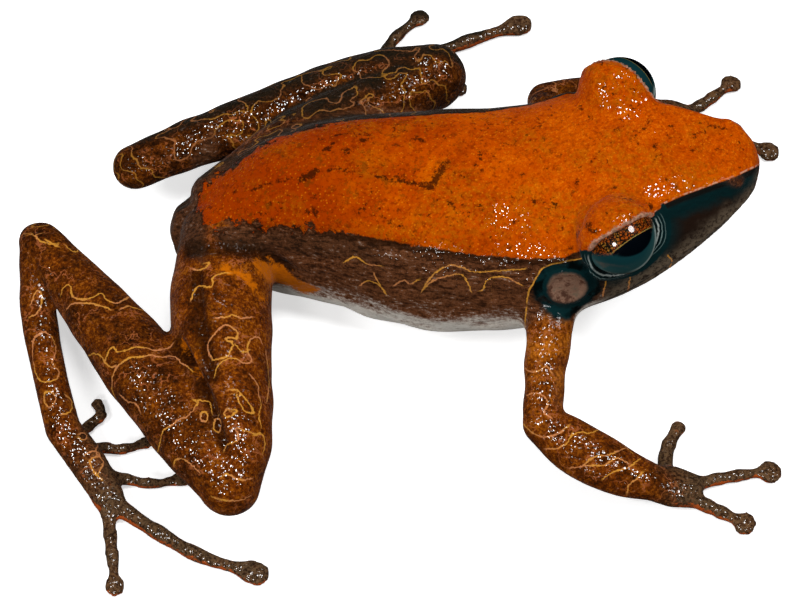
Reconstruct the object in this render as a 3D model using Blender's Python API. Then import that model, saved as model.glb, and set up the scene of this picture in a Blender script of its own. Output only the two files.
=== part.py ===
"""Life-size still model of a rain frog sitting with its right hind leg swung out.

The frog lies along X with the snout at +X. Its left side is at +Y and it
stands on the floor at z = 0. Every size below is in millimetres.
"""

from typing import NamedTuple

import bmesh
import bpy
import numpy as np
from mathutils import Matrix, Vector

# Units and clearances
MM = 0.001
GAP = 0.3
MODEL = "rain_frog"

# Fineness of the lofts
TRUNK_SPAN_RINGS = 3
TRUNK_SECTION_STEPS = 3
LIMB_SPAN_RINGS = 3
LIMB_SIDES = 10
DIGIT_SPAN_RINGS = 2
DIGIT_SIDES = 8
CAP_ANGLES = (28.0, 58.0)
DIGIT_PATH_STEPS = 8
SHARP_ANGLE = 50.0
ON_PLANE = 1e-7

# Eyes, lids, ears and nostrils
EYE_RADIUS = 2.7
EYE_FORWARD = 10.75
EYE_OUT = 6.0
EYE_UP = 12.0
EYE_SHIFT = 0.1
EYE_TURN = 35.0
EYE_SEGMENTS = 18
LID_SEGMENTS = 21
LID_WALL = 0.55
LID_OPENING = 0.1
LOWER_LID_OUT = 1.1
LOWER_LID_REACH = 3.15
LOWER_LID_RADIUS = 0.38
LOWER_LID_ENDS = (9.0, 171.0)
LOWER_LID_STEPS = 13
EAR_FORWARD = 7.1
EAR_OUT = 8.45
EAR_UP = 8.9
EAR_RADIUS = 1.45
EAR_RIM = 0.28
EAR_FACING = (0.05, 1.0, 0.28)
EAR_SPOKES = 16
EAR_RIM_SIDES = 6
NOSTRIL_FORWARD = 19.0
NOSTRIL_OUT = 1.95
NOSTRIL_UP = 11.9
NOSTRIL_RIM = 0.5
NOSTRIL_HOLE = 0.24
NOSTRIL_FACING = (0.35, 1.0, 0.1)
NOSTRIL_SEGMENTS = 12
HOLE_SEGMENTS = 10

# Planes that part the head from the trunk and the jaws from each other
NECK_POINT = (6.0, 0.0, 8.25)
NECK_LEAN = 18.5
MOUTH_POINT = (8.8, 0.0, 6.0)
MOUTH_PITCH = 18.0
LIP_RADIUS = 0.34
LIP_OFFSET = 0.42
LIP_SINK = 0.25
LIP_CORNER = 7.9


class Station(NamedTuple):
    """One cross-section of the trunk: where it stands and its five guide heights."""

    x: float
    mid: float
    top: float
    edge_out: float
    edge_up: float
    side_out: float
    side_up: float
    low_out: float
    low_up: float
    keel: float


# Trunk and head from the rump to the tip of the snout
TRUNK = (
    Station(-22.3, -1.0, 5.2, 0.05, 5.1, 0.08, 4.8, 0.05, 4.5, 4.4),
    Station(-22.0, -1.0, 6.0, 0.8, 5.7, 1.5, 4.8, 1.1, 3.7, 3.3),
    Station(-20.7, -0.9, 7.0, 1.4, 6.4, 2.6, 5.0, 2.2, 2.8, 2.2),
    Station(-18.2, -0.5, 9.1, 2.4, 8.3, 4.0, 5.4, 3.4, 2.2, 1.5),
    Station(-14.5, 0.1, 11.2, 3.5, 10.0, 5.2, 5.6, 4.6, 1.7, 1.0),
    Station(-10.3, 0.25, 12.0, 4.4, 10.6, 6.3, 5.4, 5.7, 1.6, 0.8),
    Station(-6.0, 0.0, 12.2, 5.1, 10.8, 7.6, 5.2, 6.8, 1.6, 0.8),
    Station(-1.5, -0.3, 12.4, 5.6, 10.9, 8.3, 5.2, 7.3, 1.8, 1.0),
    Station(3.5, -0.5, 12.8, 5.9, 11.2, 8.4, 5.9, 7.2, 2.5, 1.8),
    Station(7.2, -0.3, 13.3, 6.2, 11.8, 8.5, 7.3, 6.8, 3.9, 3.2),
    Station(10.7, 0.1, 13.9, 5.2, 12.7, 7.8, 7.3, 6.0, 4.9, 4.2),
    Station(14.0, 0.35, 13.8, 4.2, 13.2, 6.5, 8.2, 4.9, 6.2, 5.6),
    Station(17.0, 0.6, 13.3, 3.1, 12.9, 4.8, 9.1, 3.5, 7.6, 7.1),
    Station(19.2, 0.75, 12.8, 2.2, 12.5, 3.2, 9.9, 2.3, 8.8, 8.5),
    Station(20.5, 0.85, 12.2, 1.2, 11.9, 1.7, 10.5, 1.2, 9.8, 9.6),
    Station(20.95, 0.85, 11.4, 0.05, 11.3, 0.08, 10.9, 0.05, 10.7, 10.6),
)


class Ring(NamedTuple):
    """One cross-section of a limb: its middle and its half sizes."""

    x: float
    y: float
    z: float
    half_width: float
    half_height: float


# Limb pieces from the body outward; the last ring is the joint with the next piece
LIMBS = {
    "right_arm": {
        "upper_arm": (
            Ring(5.2, -6.0, 6.0, 1.9, 1.9),
            Ring(5.6, -9.0, 5.4, 1.6, 1.6),
            Ring(5.35, -13.0, 4.4, 1.35, 1.4),
            Ring(5.4, -16.6, 3.5, 1.5, 1.5),
        ),
        "forearm": (
            Ring(5.4, -16.6, 3.5, 1.55, 1.55),
            Ring(8.1, -18.4, 2.9, 2.05, 1.7),
            Ring(10.9, -19.7, 2.2, 1.85, 1.5),
            Ring(13.4, -20.3, 1.5, 1.35, 1.15),
        ),
        "hand": (
            Ring(13.4, -20.3, 1.5, 1.4, 1.1),
            Ring(14.9, -20.4, 1.1, 1.6, 0.9),
            Ring(16.2, -20.4, 0.8, 1.25, 0.75),
        ),
    },
    "left_arm": {
        "upper_arm": (
            Ring(5.2, 5.5, 6.0, 1.7, 1.9),
            Ring(5.2, 8.2, 4.8, 1.4, 1.5),
            Ring(5.3, 11.3, 3.0, 1.4, 1.4),
        ),
        "forearm": (
            Ring(5.3, 11.3, 3.0, 1.45, 1.45),
            Ring(8.1, 11.7, 2.7, 1.7, 1.5),
            Ring(11.0, 11.6, 2.1, 1.4, 1.2),
            Ring(13.3, 11.2, 1.5, 1.15, 1.0),
        ),
        "hand": (
            Ring(13.3, 11.2, 1.5, 1.15, 0.95),
            Ring(14.7, 11.1, 1.1, 1.45, 0.85),
            Ring(16.0, 11.0, 0.8, 1.25, 0.75),
        ),
    },
    "right_leg": {
        "thigh": (
            Ring(-18.0, -2.5, 5.8, 3.4, 3.2),
            Ring(-18.1, -8.0, 5.8, 3.75, 3.4),
            Ring(-17.6, -14.0, 5.7, 3.45, 3.2),
            Ring(-16.8, -19.0, 5.4, 2.9, 2.9),
            Ring(-16.9, -22.4, 5.1, 2.3, 2.5),
        ),
        "shank": (
            Ring(-16.9, -22.4, 5.1, 2.2, 2.5),
            Ring(-19.7, -18.3, 5.2, 2.9, 2.6),
            Ring(-24.2, -12.2, 5.0, 2.9, 2.5),
            Ring(-28.9, -5.9, 4.5, 2.15, 1.9),
            Ring(-32.0, -1.9, 4.0, 1.65, 1.6),
        ),
        "tarsus": (
            Ring(-32.0, -1.9, 4.0, 1.6, 1.6),
            Ring(-31.9, -7.0, 3.0, 1.35, 1.3),
            Ring(-30.8, -12.0, 2.2, 1.25, 1.2),
            Ring(-29.6, -16.2, 1.6, 1.3, 1.2),
        ),
        "foot": (
            Ring(-29.6, -16.2, 1.6, 1.3, 1.15),
            Ring(-27.6, -18.8, 1.1, 1.35, 0.95),
            Ring(-25.9, -21.5, 0.8, 1.15, 0.8),
        ),
    },
    "left_leg": {
        "thigh": (
            Ring(-18.3, 0.7, 5.7, 2.6, 2.8),
            Ring(-13.0, 4.6, 6.2, 3.0, 3.2),
            Ring(-8.2, 8.0, 5.9, 3.0, 3.1),
            Ring(-3.1, 11.8, 5.6, 2.1, 2.5),
        ),
        "shank": (
            Ring(-3.1, 11.8, 5.6, 2.4, 2.7),
            Ring(-8.2, 10.7, 5.8, 2.6, 2.6),
            Ring(-14.3, 8.55, 5.6, 2.35, 2.3),
            Ring(-20.6, 6.35, 5.1, 1.9, 1.85),
            Ring(-25.4, 4.65, 4.2, 1.7, 1.6),
        ),
        "tarsus": (
            Ring(-25.4, 4.65, 4.2, 1.55, 1.5),
            Ring(-21.0, 7.2, 2.5, 1.15, 1.15),
            Ring(-16.6, 9.5, 1.7, 1.15, 1.1),
            Ring(-12.4, 11.7, 1.4, 1.25, 1.05),
        ),
        "foot": (
            Ring(-12.4, 11.7, 1.4, 1.25, 1.0),
            Ring(-9.8, 13.2, 1.0, 1.35, 0.9),
            Ring(-6.9, 14.9, 0.8, 1.15, 0.8),
        ),
    },
}


class Digit(NamedTuple):
    """A finger or toe: its path on the floor, its thickness and half the width of its disc."""

    path: tuple
    thickness: float = 1.0
    disc: float = 0.9


# Fingers and toes, from the palm or sole to the tip, as places on the floor
DIGITS = {
    "finger_right_1": Digit(((14.2, -19.9), (13.1, -18.9), (12.0, -18.3), (11.0, -18.1)), 0.75, 0.45),
    "finger_right_2": Digit(((14.6, -19.7), (14.2, -18.3), (14.4, -16.9), (15.05, -15.5)), 0.85, 0.45),
    "finger_right_3": Digit(((15.6, -20.1), (17.8, -19.45), (20.0, -19.0), (21.7, -18.75)), 1.0, 0.95),
    "finger_right_4": Digit(((15.6, -20.9), (17.2, -21.6), (18.6, -22.3), (19.8, -22.9)), 1.1, 0.95),
    "finger_left_1": Digit(((14.0, 10.6), (14.6, 9.2), (15.4, 7.8), (16.2, 6.8)), 0.9, 0.6),
    "finger_left_2": Digit(((15.2, 10.7), (16.4, 9.8), (17.6, 8.6), (18.6, 7.4)), 0.9, 0.65),
    "finger_left_3": Digit(((15.7, 11.1), (17.8, 10.6), (20.2, 9.3), (22.1, 8.5)), 1.0, 0.85),
    "finger_left_4": Digit(((15.2, 11.6), (16.6, 12.3), (18.0, 13.4), (19.3, 14.6)), 1.0, 0.85),
    "toe_right_1": Digit(((-28.9, -16.4), (-27.7, -15.1), (-27.0, -14.3), (-27.4, -13.4)), 0.9, 0.5),
    "toe_right_2": Digit(((-28.4, -17.4), (-26.8, -17.1), (-25.3, -17.2), (-23.6, -16.6)), 0.9, 0.55),
    "toe_right_3": Digit(((-27.4, -19.0), (-25.2, -19.6), (-23.1, -20.0), (-20.8, -19.6)), 0.9, 0.65),
    "toe_right_4": Digit(((-26.3, -21.3), (-22.8, -23.7), (-19.1, -25.9), (-15.0, -27.2)), 1.15, 0.95),
    "toe_right_5": Digit(((-26.1, -21.7), (-25.8, -23.8), (-25.5, -25.8), (-25.15, -28.3)), 1.0, 0.75),
    "toe_left_1": Digit(((-11.4, 11.7), (-10.2, 10.6), (-9.2, 9.8), (-8.2, 9.4)), 0.9, 0.55),
    "toe_left_2": Digit(((-10.2, 12.4), (-8.6, 12.0), (-7.0, 11.8), (-5.4, 12.0)), 0.9, 0.6),
    "toe_left_3": Digit(((-8.6, 13.6), (-6.0, 13.9), (-3.6, 14.0), (-1.4, 14.2)), 0.9, 0.7),
    "toe_left_4": Digit(((-7.2, 14.7), (-4.4, 16.6), (-0.8, 18.4), (3.2, 20.0)), 1.15, 0.95),
    "toe_left_5": Digit(((-7.4, 14.9), (-7.2, 17.2), (-6.3, 18.9), (-4.6, 20.7)), 1.0, 0.75),
}

# How a digit's thickness and width run from its root to its tip
DIGIT_PLACES = (0.0, 0.32, 0.62, 0.84, 0.95, 1.0)
DIGIT_WIDTHS = (1.15, 0.95, 0.92, 0.80, None, None)
DIGIT_HEIGHTS = (1.15, 0.95, 0.90, 0.78, 0.80, 0.70)
DISC_WIDTHS = (0.92, 1.0)
DIGIT_STANCE = 0.9

# Colours: red, green and blue, then roughness
SKINS = {
    "orange": ((0.55, 0.16, 0.02, 1.0), 0.35),
    "brown": ((0.10, 0.035, 0.015, 1.0), 0.32),
    "jaw": ((0.05, 0.045, 0.05, 1.0), 0.32),
    "digit": ((0.12, 0.075, 0.05, 1.0), 0.35),
    "eye": ((0.01, 0.02, 0.025, 1.0), 0.05),
}


def clear_scene():
    """Remove every object that the file opens with."""
    for thing in list(bpy.data.objects):
        bpy.data.objects.remove(thing, do_unlink=True)


def spline(rows, per_span, monotone=False):
    """Carry a smooth curve through rows of values, with per_span steps between two rows."""
    rows = np.asarray(rows, float)
    steps = np.diff(rows, axis=0)
    slopes = np.empty_like(rows)
    slopes[0] = steps[0]
    slopes[-1] = steps[-1]
    if monotone:
        product = steps[:-1] * steps[1:]
        total = steps[:-1] + steps[1:]
        safe = np.where(np.abs(total) > 1e-9, total, 1.0)
        slopes[1:-1] = np.where(product > 0.0, 2.0 * product / safe, 0.0)
    else:
        slopes[1:-1] = (steps[:-1] + steps[1:]) / 2.0
    place = np.linspace(0.0, len(rows) - 1.0, per_span * (len(rows) - 1) + 1)
    span = np.minimum(place.astype(int), len(rows) - 2)
    t = (place - span)[:, None]
    start = (1.0 + 2.0 * t) * (1.0 - t) ** 2 * rows[span] + t * (1.0 - t) ** 2 * slopes[span]
    end = t ** 2 * (3.0 - 2.0 * t) * rows[span + 1] + t ** 2 * (t - 1.0) * slopes[span + 1]
    return start + end


def closed_spline(points, per_span):
    """Carry a smooth closed curve through a ring of points."""
    points = np.asarray(points, float)
    wrapped = np.vstack([points[-2:], points, points[:3]])
    curve = spline(wrapped, per_span)
    return curve[2 * per_span:(2 + len(points)) * per_span]


def unit(vector):
    """Scale a vector to length one."""
    vector = np.asarray(vector, float)
    return vector / np.linalg.norm(vector)


def material(kind):
    """Give the Principled material of one kind of skin, made once."""
    name = "skin_" + kind
    found = bpy.data.materials.get(name)
    if found:
        return found
    colour, roughness = SKINS[kind]
    made = bpy.data.materials.new(name)
    made.use_nodes = True
    shader = made.node_tree.nodes["Principled BSDF"]
    shader.inputs["Base Color"].default_value = colour
    shader.inputs["Roughness"].default_value = roughness
    shader.inputs["Metallic"].default_value = 0.0
    return made


def new_object(name, mesh, folder):
    """Put a mesh in the scene as an object in the given collection."""
    thing = bpy.data.objects.new(name, mesh)
    folder.objects.link(thing)
    return thing


def loft(name, rings, folder):
    """Skin a row of rings into one closed body; each end ring closes on its middle."""
    rings = np.asarray(rings, float)
    count, sides = rings.shape[:2]
    points = [tuple(p) for p in (rings * MM).reshape(-1, 3)]
    faces = []
    for ring in range(count - 1):
        for side in range(sides):
            here = ring * sides + side
            beside = ring * sides + (side + 1) % sides
            faces.append((here, beside, beside + sides, here + sides))
    for ring, flip in ((0, True), (count - 1, False)):
        pole = len(points)
        points.append(tuple(rings[ring].mean(axis=0) * MM))
        for side in range(sides):
            here = ring * sides + side
            beside = ring * sides + (side + 1) % sides
            faces.append((beside, here, pole) if flip else (here, beside, pole))
    mesh = bpy.data.meshes.new(name)
    mesh.from_pydata(points, [], faces)
    form = bmesh.new()
    form.from_mesh(mesh)
    bmesh.ops.recalc_face_normals(form, faces=form.faces)
    form.to_mesh(mesh)
    form.free()
    return new_object(name, mesh, folder)


def trunk_rings(stations):
    """Work out the cross-sections of the trunk from its guide heights."""
    rows = spline(stations, TRUNK_SPAN_RINGS, monotone=True)
    rings = []
    for row in rows:
        here = Station(*row)
        corners = (
            (0.0, here.top),
            (here.edge_out, here.edge_up),
            (here.side_out, here.side_up),
            (here.low_out, here.low_up),
            (0.0, here.keel),
            (-here.low_out, here.low_up),
            (-here.side_out, here.side_up),
            (-here.edge_out, here.edge_up),
        )
        section = closed_spline(corners, TRUNK_SECTION_STEPS)
        ring = np.empty((len(section), 3))
        ring[:, 0] = here.x
        ring[:, 1] = here.mid + section[:, 0]
        ring[:, 2] = section[:, 1]
        rings.append(ring)
    return np.array(rings)


def tube_rings(rows, per_span, sides, on_floor=False, disc_cap=False):
    """Work out rings along a limb with a round cap at each end, wide at the end of a digit."""
    rows = spline(rows, per_span)
    places = rows[:, :3]
    sizes = rows[:, 3:5]
    along = np.gradient(places, axis=0)
    along /= np.linalg.norm(along, axis=1)[:, None]
    across = np.cross(along, (0.0, 0.0, 1.0))
    across /= np.linalg.norm(across, axis=1)[:, None]
    rise = np.cross(across, along)
    angles = np.radians(np.array(CAP_ANGLES))
    frames = []
    for angle in angles[::-1]:
        frames.append((0, -np.sin(angle), np.cos(angle)))
    frames += [(index, 0.0, 1.0) for index in range(len(rows))]
    for angle in angles:
        frames.append((len(rows) - 1, np.sin(angle), np.cos(angle)))
    turn = np.linspace(0.0, 2.0 * np.pi, sides, endpoint=False)
    rings = []
    for index, reach, shrink in frames:
        radius = sizes[index][0] if disc_cap else sizes[index].min()
        middle = places[index] + along[index] * reach * radius
        wide = np.outer(np.cos(turn) * sizes[index][0] * shrink, across[index])
        high = np.outer(np.sin(turn) * sizes[index][1] * shrink, rise[index])
        rings.append(middle + wide + high)
    rings = np.array(rings)
    if on_floor:
        rings[:, :, 2] = np.maximum(rings[:, :, 2], 0.0)
    return rings


def trim(thing, point, normal):
    """Cut off what lies beyond a plane and close the cut."""
    form = bmesh.new()
    form.from_mesh(thing.data)
    everything = form.verts[:] + form.edges[:] + form.faces[:]
    bmesh.ops.bisect_plane(
        form,
        geom=everything,
        dist=ON_PLANE,
        plane_co=Vector(point) * MM,
        plane_no=Vector(normal),
        clear_outer=True,
    )
    rim = [edge for edge in form.edges if edge.is_boundary]
    bmesh.ops.holes_fill(form, edges=rim, sides=0)
    bmesh.ops.recalc_face_normals(form, faces=form.faces)
    form.to_mesh(thing.data)
    form.free()


def keep_largest(thing):
    """Keep only the largest closed surface of an object."""
    form = bmesh.new()
    form.from_mesh(thing.data)
    waiting = set(form.faces)
    islands = []
    while waiting:
        front = [waiting.pop()]
        island = list(front)
        while front:
            face = front.pop()
            for edge in face.edges:
                for other in edge.link_faces:
                    if other in waiting:
                        waiting.remove(other)
                        island.append(other)
                        front.append(other)
        islands.append(island)
    islands.sort(key=lambda island: sum(face.calc_area() for face in island))
    scraps = [face for island in islands[:-1] for face in island]
    if scraps:
        bmesh.ops.delete(form, geom=scraps, context="FACES")
        form.to_mesh(thing.data)
    form.free()


def apply_boolean(thing, operation, other=None, group=None):
    """Apply one Boolean with an object or a collection of objects."""
    modifier = thing.modifiers.new("shape", "BOOLEAN")
    modifier.operation = operation
    if group:
        modifier.operand_type = "COLLECTION"
        modifier.collection = group
    else:
        modifier.object = other
    bpy.context.view_layer.update()
    graph = bpy.context.evaluated_depsgraph_get()
    result = bpy.data.meshes.new_from_object(thing.evaluated_get(graph))
    thing.modifiers.clear()
    thing.data = result
    keep_largest(thing)


def fuse(thing, pieces, cutters):
    """Join pieces to a body, then take the loose pieces away."""
    group = bpy.data.collections.new("pieces")
    bpy.context.scene.collection.children.link(group)
    for piece in pieces:
        cutters.objects.unlink(piece)
        group.objects.link(piece)
    apply_boolean(thing, "UNION", group=group)
    for piece in pieces:
        bpy.data.objects.remove(piece, do_unlink=True)
    bpy.data.collections.remove(group)


def carve(thing, cutter):
    """Cut one shape out of a body."""
    apply_boolean(thing, "DIFFERENCE", other=cutter)


def grown(thing, amount, cutters):
    """Copy a body with its surface moved outward, to cut clear of it."""
    copy = new_object(thing.name + "_clear", thing.data.copy(), cutters)
    form = bmesh.new()
    form.from_mesh(copy.data)
    form.normal_update()
    for vert in form.verts:
        vert.co += vert.normal * (amount * MM)
    form.to_mesh(copy.data)
    form.free()
    return copy


def ball(name, centre, radius, segments, folder, axis=(0.0, 0.0, 1.0)):
    """Make a sphere whose poles lie on the given axis."""
    mesh = bpy.data.meshes.new(name)
    form = bmesh.new()
    bmesh.ops.create_uvsphere(
        form, u_segments=segments, v_segments=segments * 2 // 3, radius=radius * MM)
    turn = Vector((0.0, 0.0, 1.0)).rotation_difference(Vector(axis))
    bmesh.ops.rotate(form, verts=form.verts, cent=(0.0, 0.0, 0.0), matrix=turn.to_matrix())
    bmesh.ops.translate(form, verts=form.verts, vec=Vector(centre) * MM)
    form.to_mesh(mesh)
    form.free()
    return new_object(name, mesh, folder)


def neck_normal():
    """Give the direction square to the neck plane, toward the snout."""
    lean = np.radians(NECK_LEAN)
    return np.array([np.cos(lean), 0.0, np.sin(lean)])


def mouth_normal():
    """Give the direction square to the mouth plane, upward."""
    pitch = np.radians(MOUTH_PITCH)
    return np.array([-np.sin(pitch), 0.0, np.cos(pitch)])


def split_trunk(parts):
    """Part the trunk form into torso, head and lower jaw along two planes."""
    rings = trunk_rings(TRUNK)
    neck = neck_normal()
    mouth = mouth_normal()
    neck_point = np.array(NECK_POINT)
    mouth_point = np.array(MOUTH_POINT)
    torso = loft("torso", rings, parts)
    trim(torso, neck_point - neck * GAP / 2.0, neck)
    head = loft("head", rings, parts)
    trim(head, neck_point + neck * GAP / 2.0, -neck)
    trim(head, mouth_point + mouth * GAP / 2.0, -mouth)
    jaw = loft("lower_jaw", rings, parts)
    trim(jaw, neck_point + neck * GAP / 2.0, -neck)
    trim(jaw, mouth_point - mouth * GAP / 2.0, mouth)
    return torso, head, jaw


def lip_path(offset):
    """Follow the edge of the mouth round the snout, offset along the mouth normal."""
    rings = trunk_rings(TRUNK)
    mouth = mouth_normal()
    level = np.array(MOUTH_POINT) + mouth * offset
    right = []
    left = []
    for ring in rings:
        height = (ring - level) @ mouth
        if ring[0, 0] < LIP_CORNER:
            continue
        for start in range(len(ring)):
            end = (start + 1) % len(ring)
            if height[start] * height[end] > 0.0:
                continue
            share = height[start] / (height[start] - height[end])
            point = ring[start] + share * (ring[end] - ring[start])
            side = right if point[1] < rings[-1, :, 1].mean() else left
            side.append(point)
    path = np.array(right + left[::-1])
    middle = np.array([NECK_POINT[0], path[:, 1].mean(), 0.0])
    inward = middle - path
    inward[:, 2] = 0.0
    inward /= np.linalg.norm(inward, axis=1)[:, None]
    return path + inward * LIP_SINK


def lip(name, offset, cutters):
    """Make the rounded bead of one lip."""
    path = lip_path(offset)
    radius = np.full((len(path), 2), LIP_RADIUS)
    rows = np.hstack([path, radius])
    return loft(name, tube_rings(rows, 1, DIGIT_SIDES), cutters)


def eye_axis(side):
    """Give the direction in which one eye looks; side is -1 on the right."""
    turn = np.radians(EYE_TURN)
    return np.array([np.sin(turn), side * np.cos(turn), 0.0])


def eye_centre(side):
    """Give the middle of one eyeball."""
    return np.array([EYE_FORWARD, side * EYE_OUT + EYE_SHIFT, EYE_UP])


def lid(side, cutters):
    """Make the dome of the lids, open where the eye looks out."""
    axis = eye_axis(side)
    centre = eye_centre(side)
    dome = ball("lid", centre, EYE_RADIUS + GAP + LID_WALL, LID_SEGMENTS, cutters, axis)
    trim(dome, centre + axis * LID_OPENING, axis)
    return dome


def lower_lid(side, cutters):
    """Make the bead of the lower lid, from the front corner of the eye to the back one."""
    axis = eye_axis(side)
    level = np.array([axis[1], -axis[0], 0.0])
    ring = np.sqrt(LOWER_LID_REACH ** 2 - LOWER_LID_OUT ** 2)
    rows = []
    for turn in np.linspace(*np.radians(LOWER_LID_ENDS), LOWER_LID_STEPS):
        spoke = np.cos(turn) * level - np.sin(turn) * np.array([0.0, 0.0, 1.0])
        place = eye_centre(side) + axis * LOWER_LID_OUT + spoke * ring
        rows.append((*place, LOWER_LID_RADIUS, LOWER_LID_RADIUS))
    return loft("lower_lid", tube_rings(rows, 1, DIGIT_SIDES), cutters)


def ear(side, cutters):
    """Make the raised ring round one tympanum."""
    rows = []
    centre = np.array([EAR_FORWARD, side * EAR_OUT, EAR_UP])
    turn = np.linspace(0.0, 2.0 * np.pi, EAR_SPOKES, endpoint=False)
    outward = unit(np.array(EAR_FACING) * (1.0, side, 1.0))
    level = unit(np.cross(outward, (0.0, 0.0, 1.0)))
    rise = np.cross(level, outward)
    for angle in turn:
        spoke = np.cos(angle) * level + np.sin(angle) * rise
        ring = []
        for step in np.linspace(0.0, 2.0 * np.pi, EAR_RIM_SIDES, endpoint=False):
            reach = EAR_RADIUS + EAR_RIM * np.cos(step)
            ring.append(centre + spoke * reach + outward * EAR_RIM * np.sin(step))
        rows.append(ring)
    rows = np.array(rows)
    count, sides = rows.shape[:2]
    points = [tuple(p) for p in (rows * MM).reshape(-1, 3)]
    faces = []
    for ring in range(count):
        after = (ring + 1) % count
        for step in range(sides):
            beside = (step + 1) % sides
            faces.append((ring * sides + step, ring * sides + beside,
                          after * sides + beside, after * sides + step))
    mesh = bpy.data.meshes.new("ear")
    mesh.from_pydata(points, [], faces)
    form = bmesh.new()
    form.from_mesh(mesh)
    bmesh.ops.recalc_face_normals(form, faces=form.faces)
    form.to_mesh(mesh)
    form.free()
    return new_object("ear", mesh, cutters)


def nostril_point(side):
    """Give the middle of one nostril."""
    return np.array([NOSTRIL_FORWARD, TRUNK[-1].mid + side * NOSTRIL_OUT, NOSTRIL_UP])


def finish_head(head, jaw, parts, cutters):
    """Add lids, ears, nostrils and lips to the head, and set the eyes in it."""
    additions = [lip("lip", LIP_OFFSET, cutters)]
    for side in (-1, 1):
        additions.append(lid(side, cutters))
        additions.append(lower_lid(side, cutters))
        additions.append(ear(side, cutters))
        bump = ball("nostril", nostril_point(side), NOSTRIL_RIM, NOSTRIL_SEGMENTS, cutters)
        additions.append(bump)
    fuse(head, additions, cutters)
    fuse(jaw, [lip("lip", -LIP_OFFSET, cutters)], cutters)
    trim(head, np.array(MOUTH_POINT) + mouth_normal() * GAP / 2.0, -mouth_normal())
    trim(jaw, np.array(MOUTH_POINT) - mouth_normal() * GAP / 2.0, mouth_normal())
    for piece in (head, jaw):
        trim(piece, np.array(NECK_POINT) + neck_normal() * GAP / 2.0, -neck_normal())
    for side, word in ((-1, "right"), (1, "left")):
        axis = eye_axis(side)
        socket = ball("socket", eye_centre(side), EYE_RADIUS + GAP, LID_SEGMENTS, cutters, axis)
        carve(head, socket)
        outward = unit(np.array(NOSTRIL_FACING) * (1.0, side, 1.0))
        opening = nostril_point(side) + outward * NOSTRIL_RIM
        hole = ball("hole", opening, NOSTRIL_HOLE, HOLE_SEGMENTS, cutters)
        carve(head, hole)
        ball("eye_" + word, eye_centre(side), EYE_RADIUS, EYE_SEGMENTS, parts, axis)


def limb_chain(word, pieces, parts):
    """Make the pieces of one limb and part them at their joints."""
    side = word.split("_")[0]
    made = {}
    names = list(pieces)
    for name in names:
        low = name in ("hand", "foot")
        rows = pieces[name]
        rings = tube_rings(rows, LIMB_SPAN_RINGS, LIMB_SIDES, on_floor=low)
        made[name] = loft(name + "_" + side, rings, parts)
    for inner, outer in zip(names, names[1:]):
        arriving = np.array(pieces[inner][-1][:3]) - np.array(pieces[inner][-2][:3])
        leaving = np.array(pieces[outer][1][:3]) - np.array(pieces[outer][0][:3])
        across = unit(unit(arriving) + unit(leaving))
        joint = np.array(pieces[outer][0][:3])
        trim(made[inner], joint - across * GAP / 2.0, across)
        trim(made[outer], joint + across * GAP / 2.0, -across)
    return made


def digit_rings(digit):
    """Work out the rings of a finger or toe from its path on the floor."""
    path = spline(digit.path, DIGIT_PATH_STEPS)
    steps = np.linalg.norm(np.diff(path, axis=0), axis=1)
    run = np.concatenate([[0.0], np.cumsum(steps)]) / steps.sum()
    rows = []
    for index, place in enumerate(DIGIT_PLACES):
        x = np.interp(place, run, path[:, 0])
        y = np.interp(place, run, path[:, 1])
        if DIGIT_WIDTHS[index] is None:
            wide = digit.disc * DISC_WIDTHS[index - len(DIGIT_PLACES)]
        else:
            wide = digit.thickness / 2.0 * DIGIT_WIDTHS[index]
        high = digit.thickness / 2.0 * DIGIT_HEIGHTS[index]
        rows.append((x, y, high * DIGIT_STANCE, wide, high))
    return tube_rings(rows, DIGIT_SPAN_RINGS, DIGIT_SIDES, on_floor=True, disc_cap=True)


def build():
    """Build every piece of the frog."""
    clear_scene()
    scene = bpy.context.scene
    parts = bpy.data.collections.new(MODEL)
    cutters = bpy.data.collections.new("cutters")
    scene.collection.children.link(parts)
    scene.collection.children.link(cutters)

    torso, head, jaw = split_trunk(parts)
    finish_head(head, jaw, parts, cutters)

    chains = {word: limb_chain(word, pieces, parts) for word, pieces in LIMBS.items()}
    roots = {"right_arm": "upper_arm", "left_arm": "upper_arm",
             "right_leg": "thigh", "left_leg": "thigh"}
    body_clear = [grown(piece, GAP, cutters) for piece in (torso, head, jaw)]
    for word, name in roots.items():
        for clear in body_clear if "arm" in word else body_clear[:1]:
            carve(chains[word][name], clear)

    clear_of = {"finger": "hand", "toe": "foot"}
    limb_of = {"finger": "arm", "toe": "leg"}
    palms = {}
    for name, digit in DIGITS.items():
        kind, side, _number = name.split("_")
        palm = chains[side + "_" + limb_of[kind]][clear_of[kind]]
        if palm.name not in palms:
            palms[palm.name] = grown(palm, GAP, cutters)
        body = loft(name, digit_rings(digit), parts)
        carve(body, palms[palm.name])

    paint(parts)
    for cutter in cutters.objects:
        cutter.hide_render = True
        cutter.display_type = "WIRE"
    stand_on_origin(parts, cutters)


def paint(parts):
    """Give each piece its material and smooth its round surface."""
    for thing in parts.objects:
        kind = "brown"
        if thing.name.startswith(("torso", "head")):
            kind = "orange"
        elif thing.name.startswith("eye"):
            kind = "eye"
        elif thing.name.startswith("lower_jaw"):
            kind = "jaw"
        elif thing.name.startswith(("finger", "toe", "hand", "foot")):
            kind = "digit"
        thing.data.materials.clear()
        thing.data.materials.append(material(kind))
        thing.data.shade_smooth()
        thing.data.set_sharp_from_angle(angle=np.radians(SHARP_ANGLE))


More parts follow.
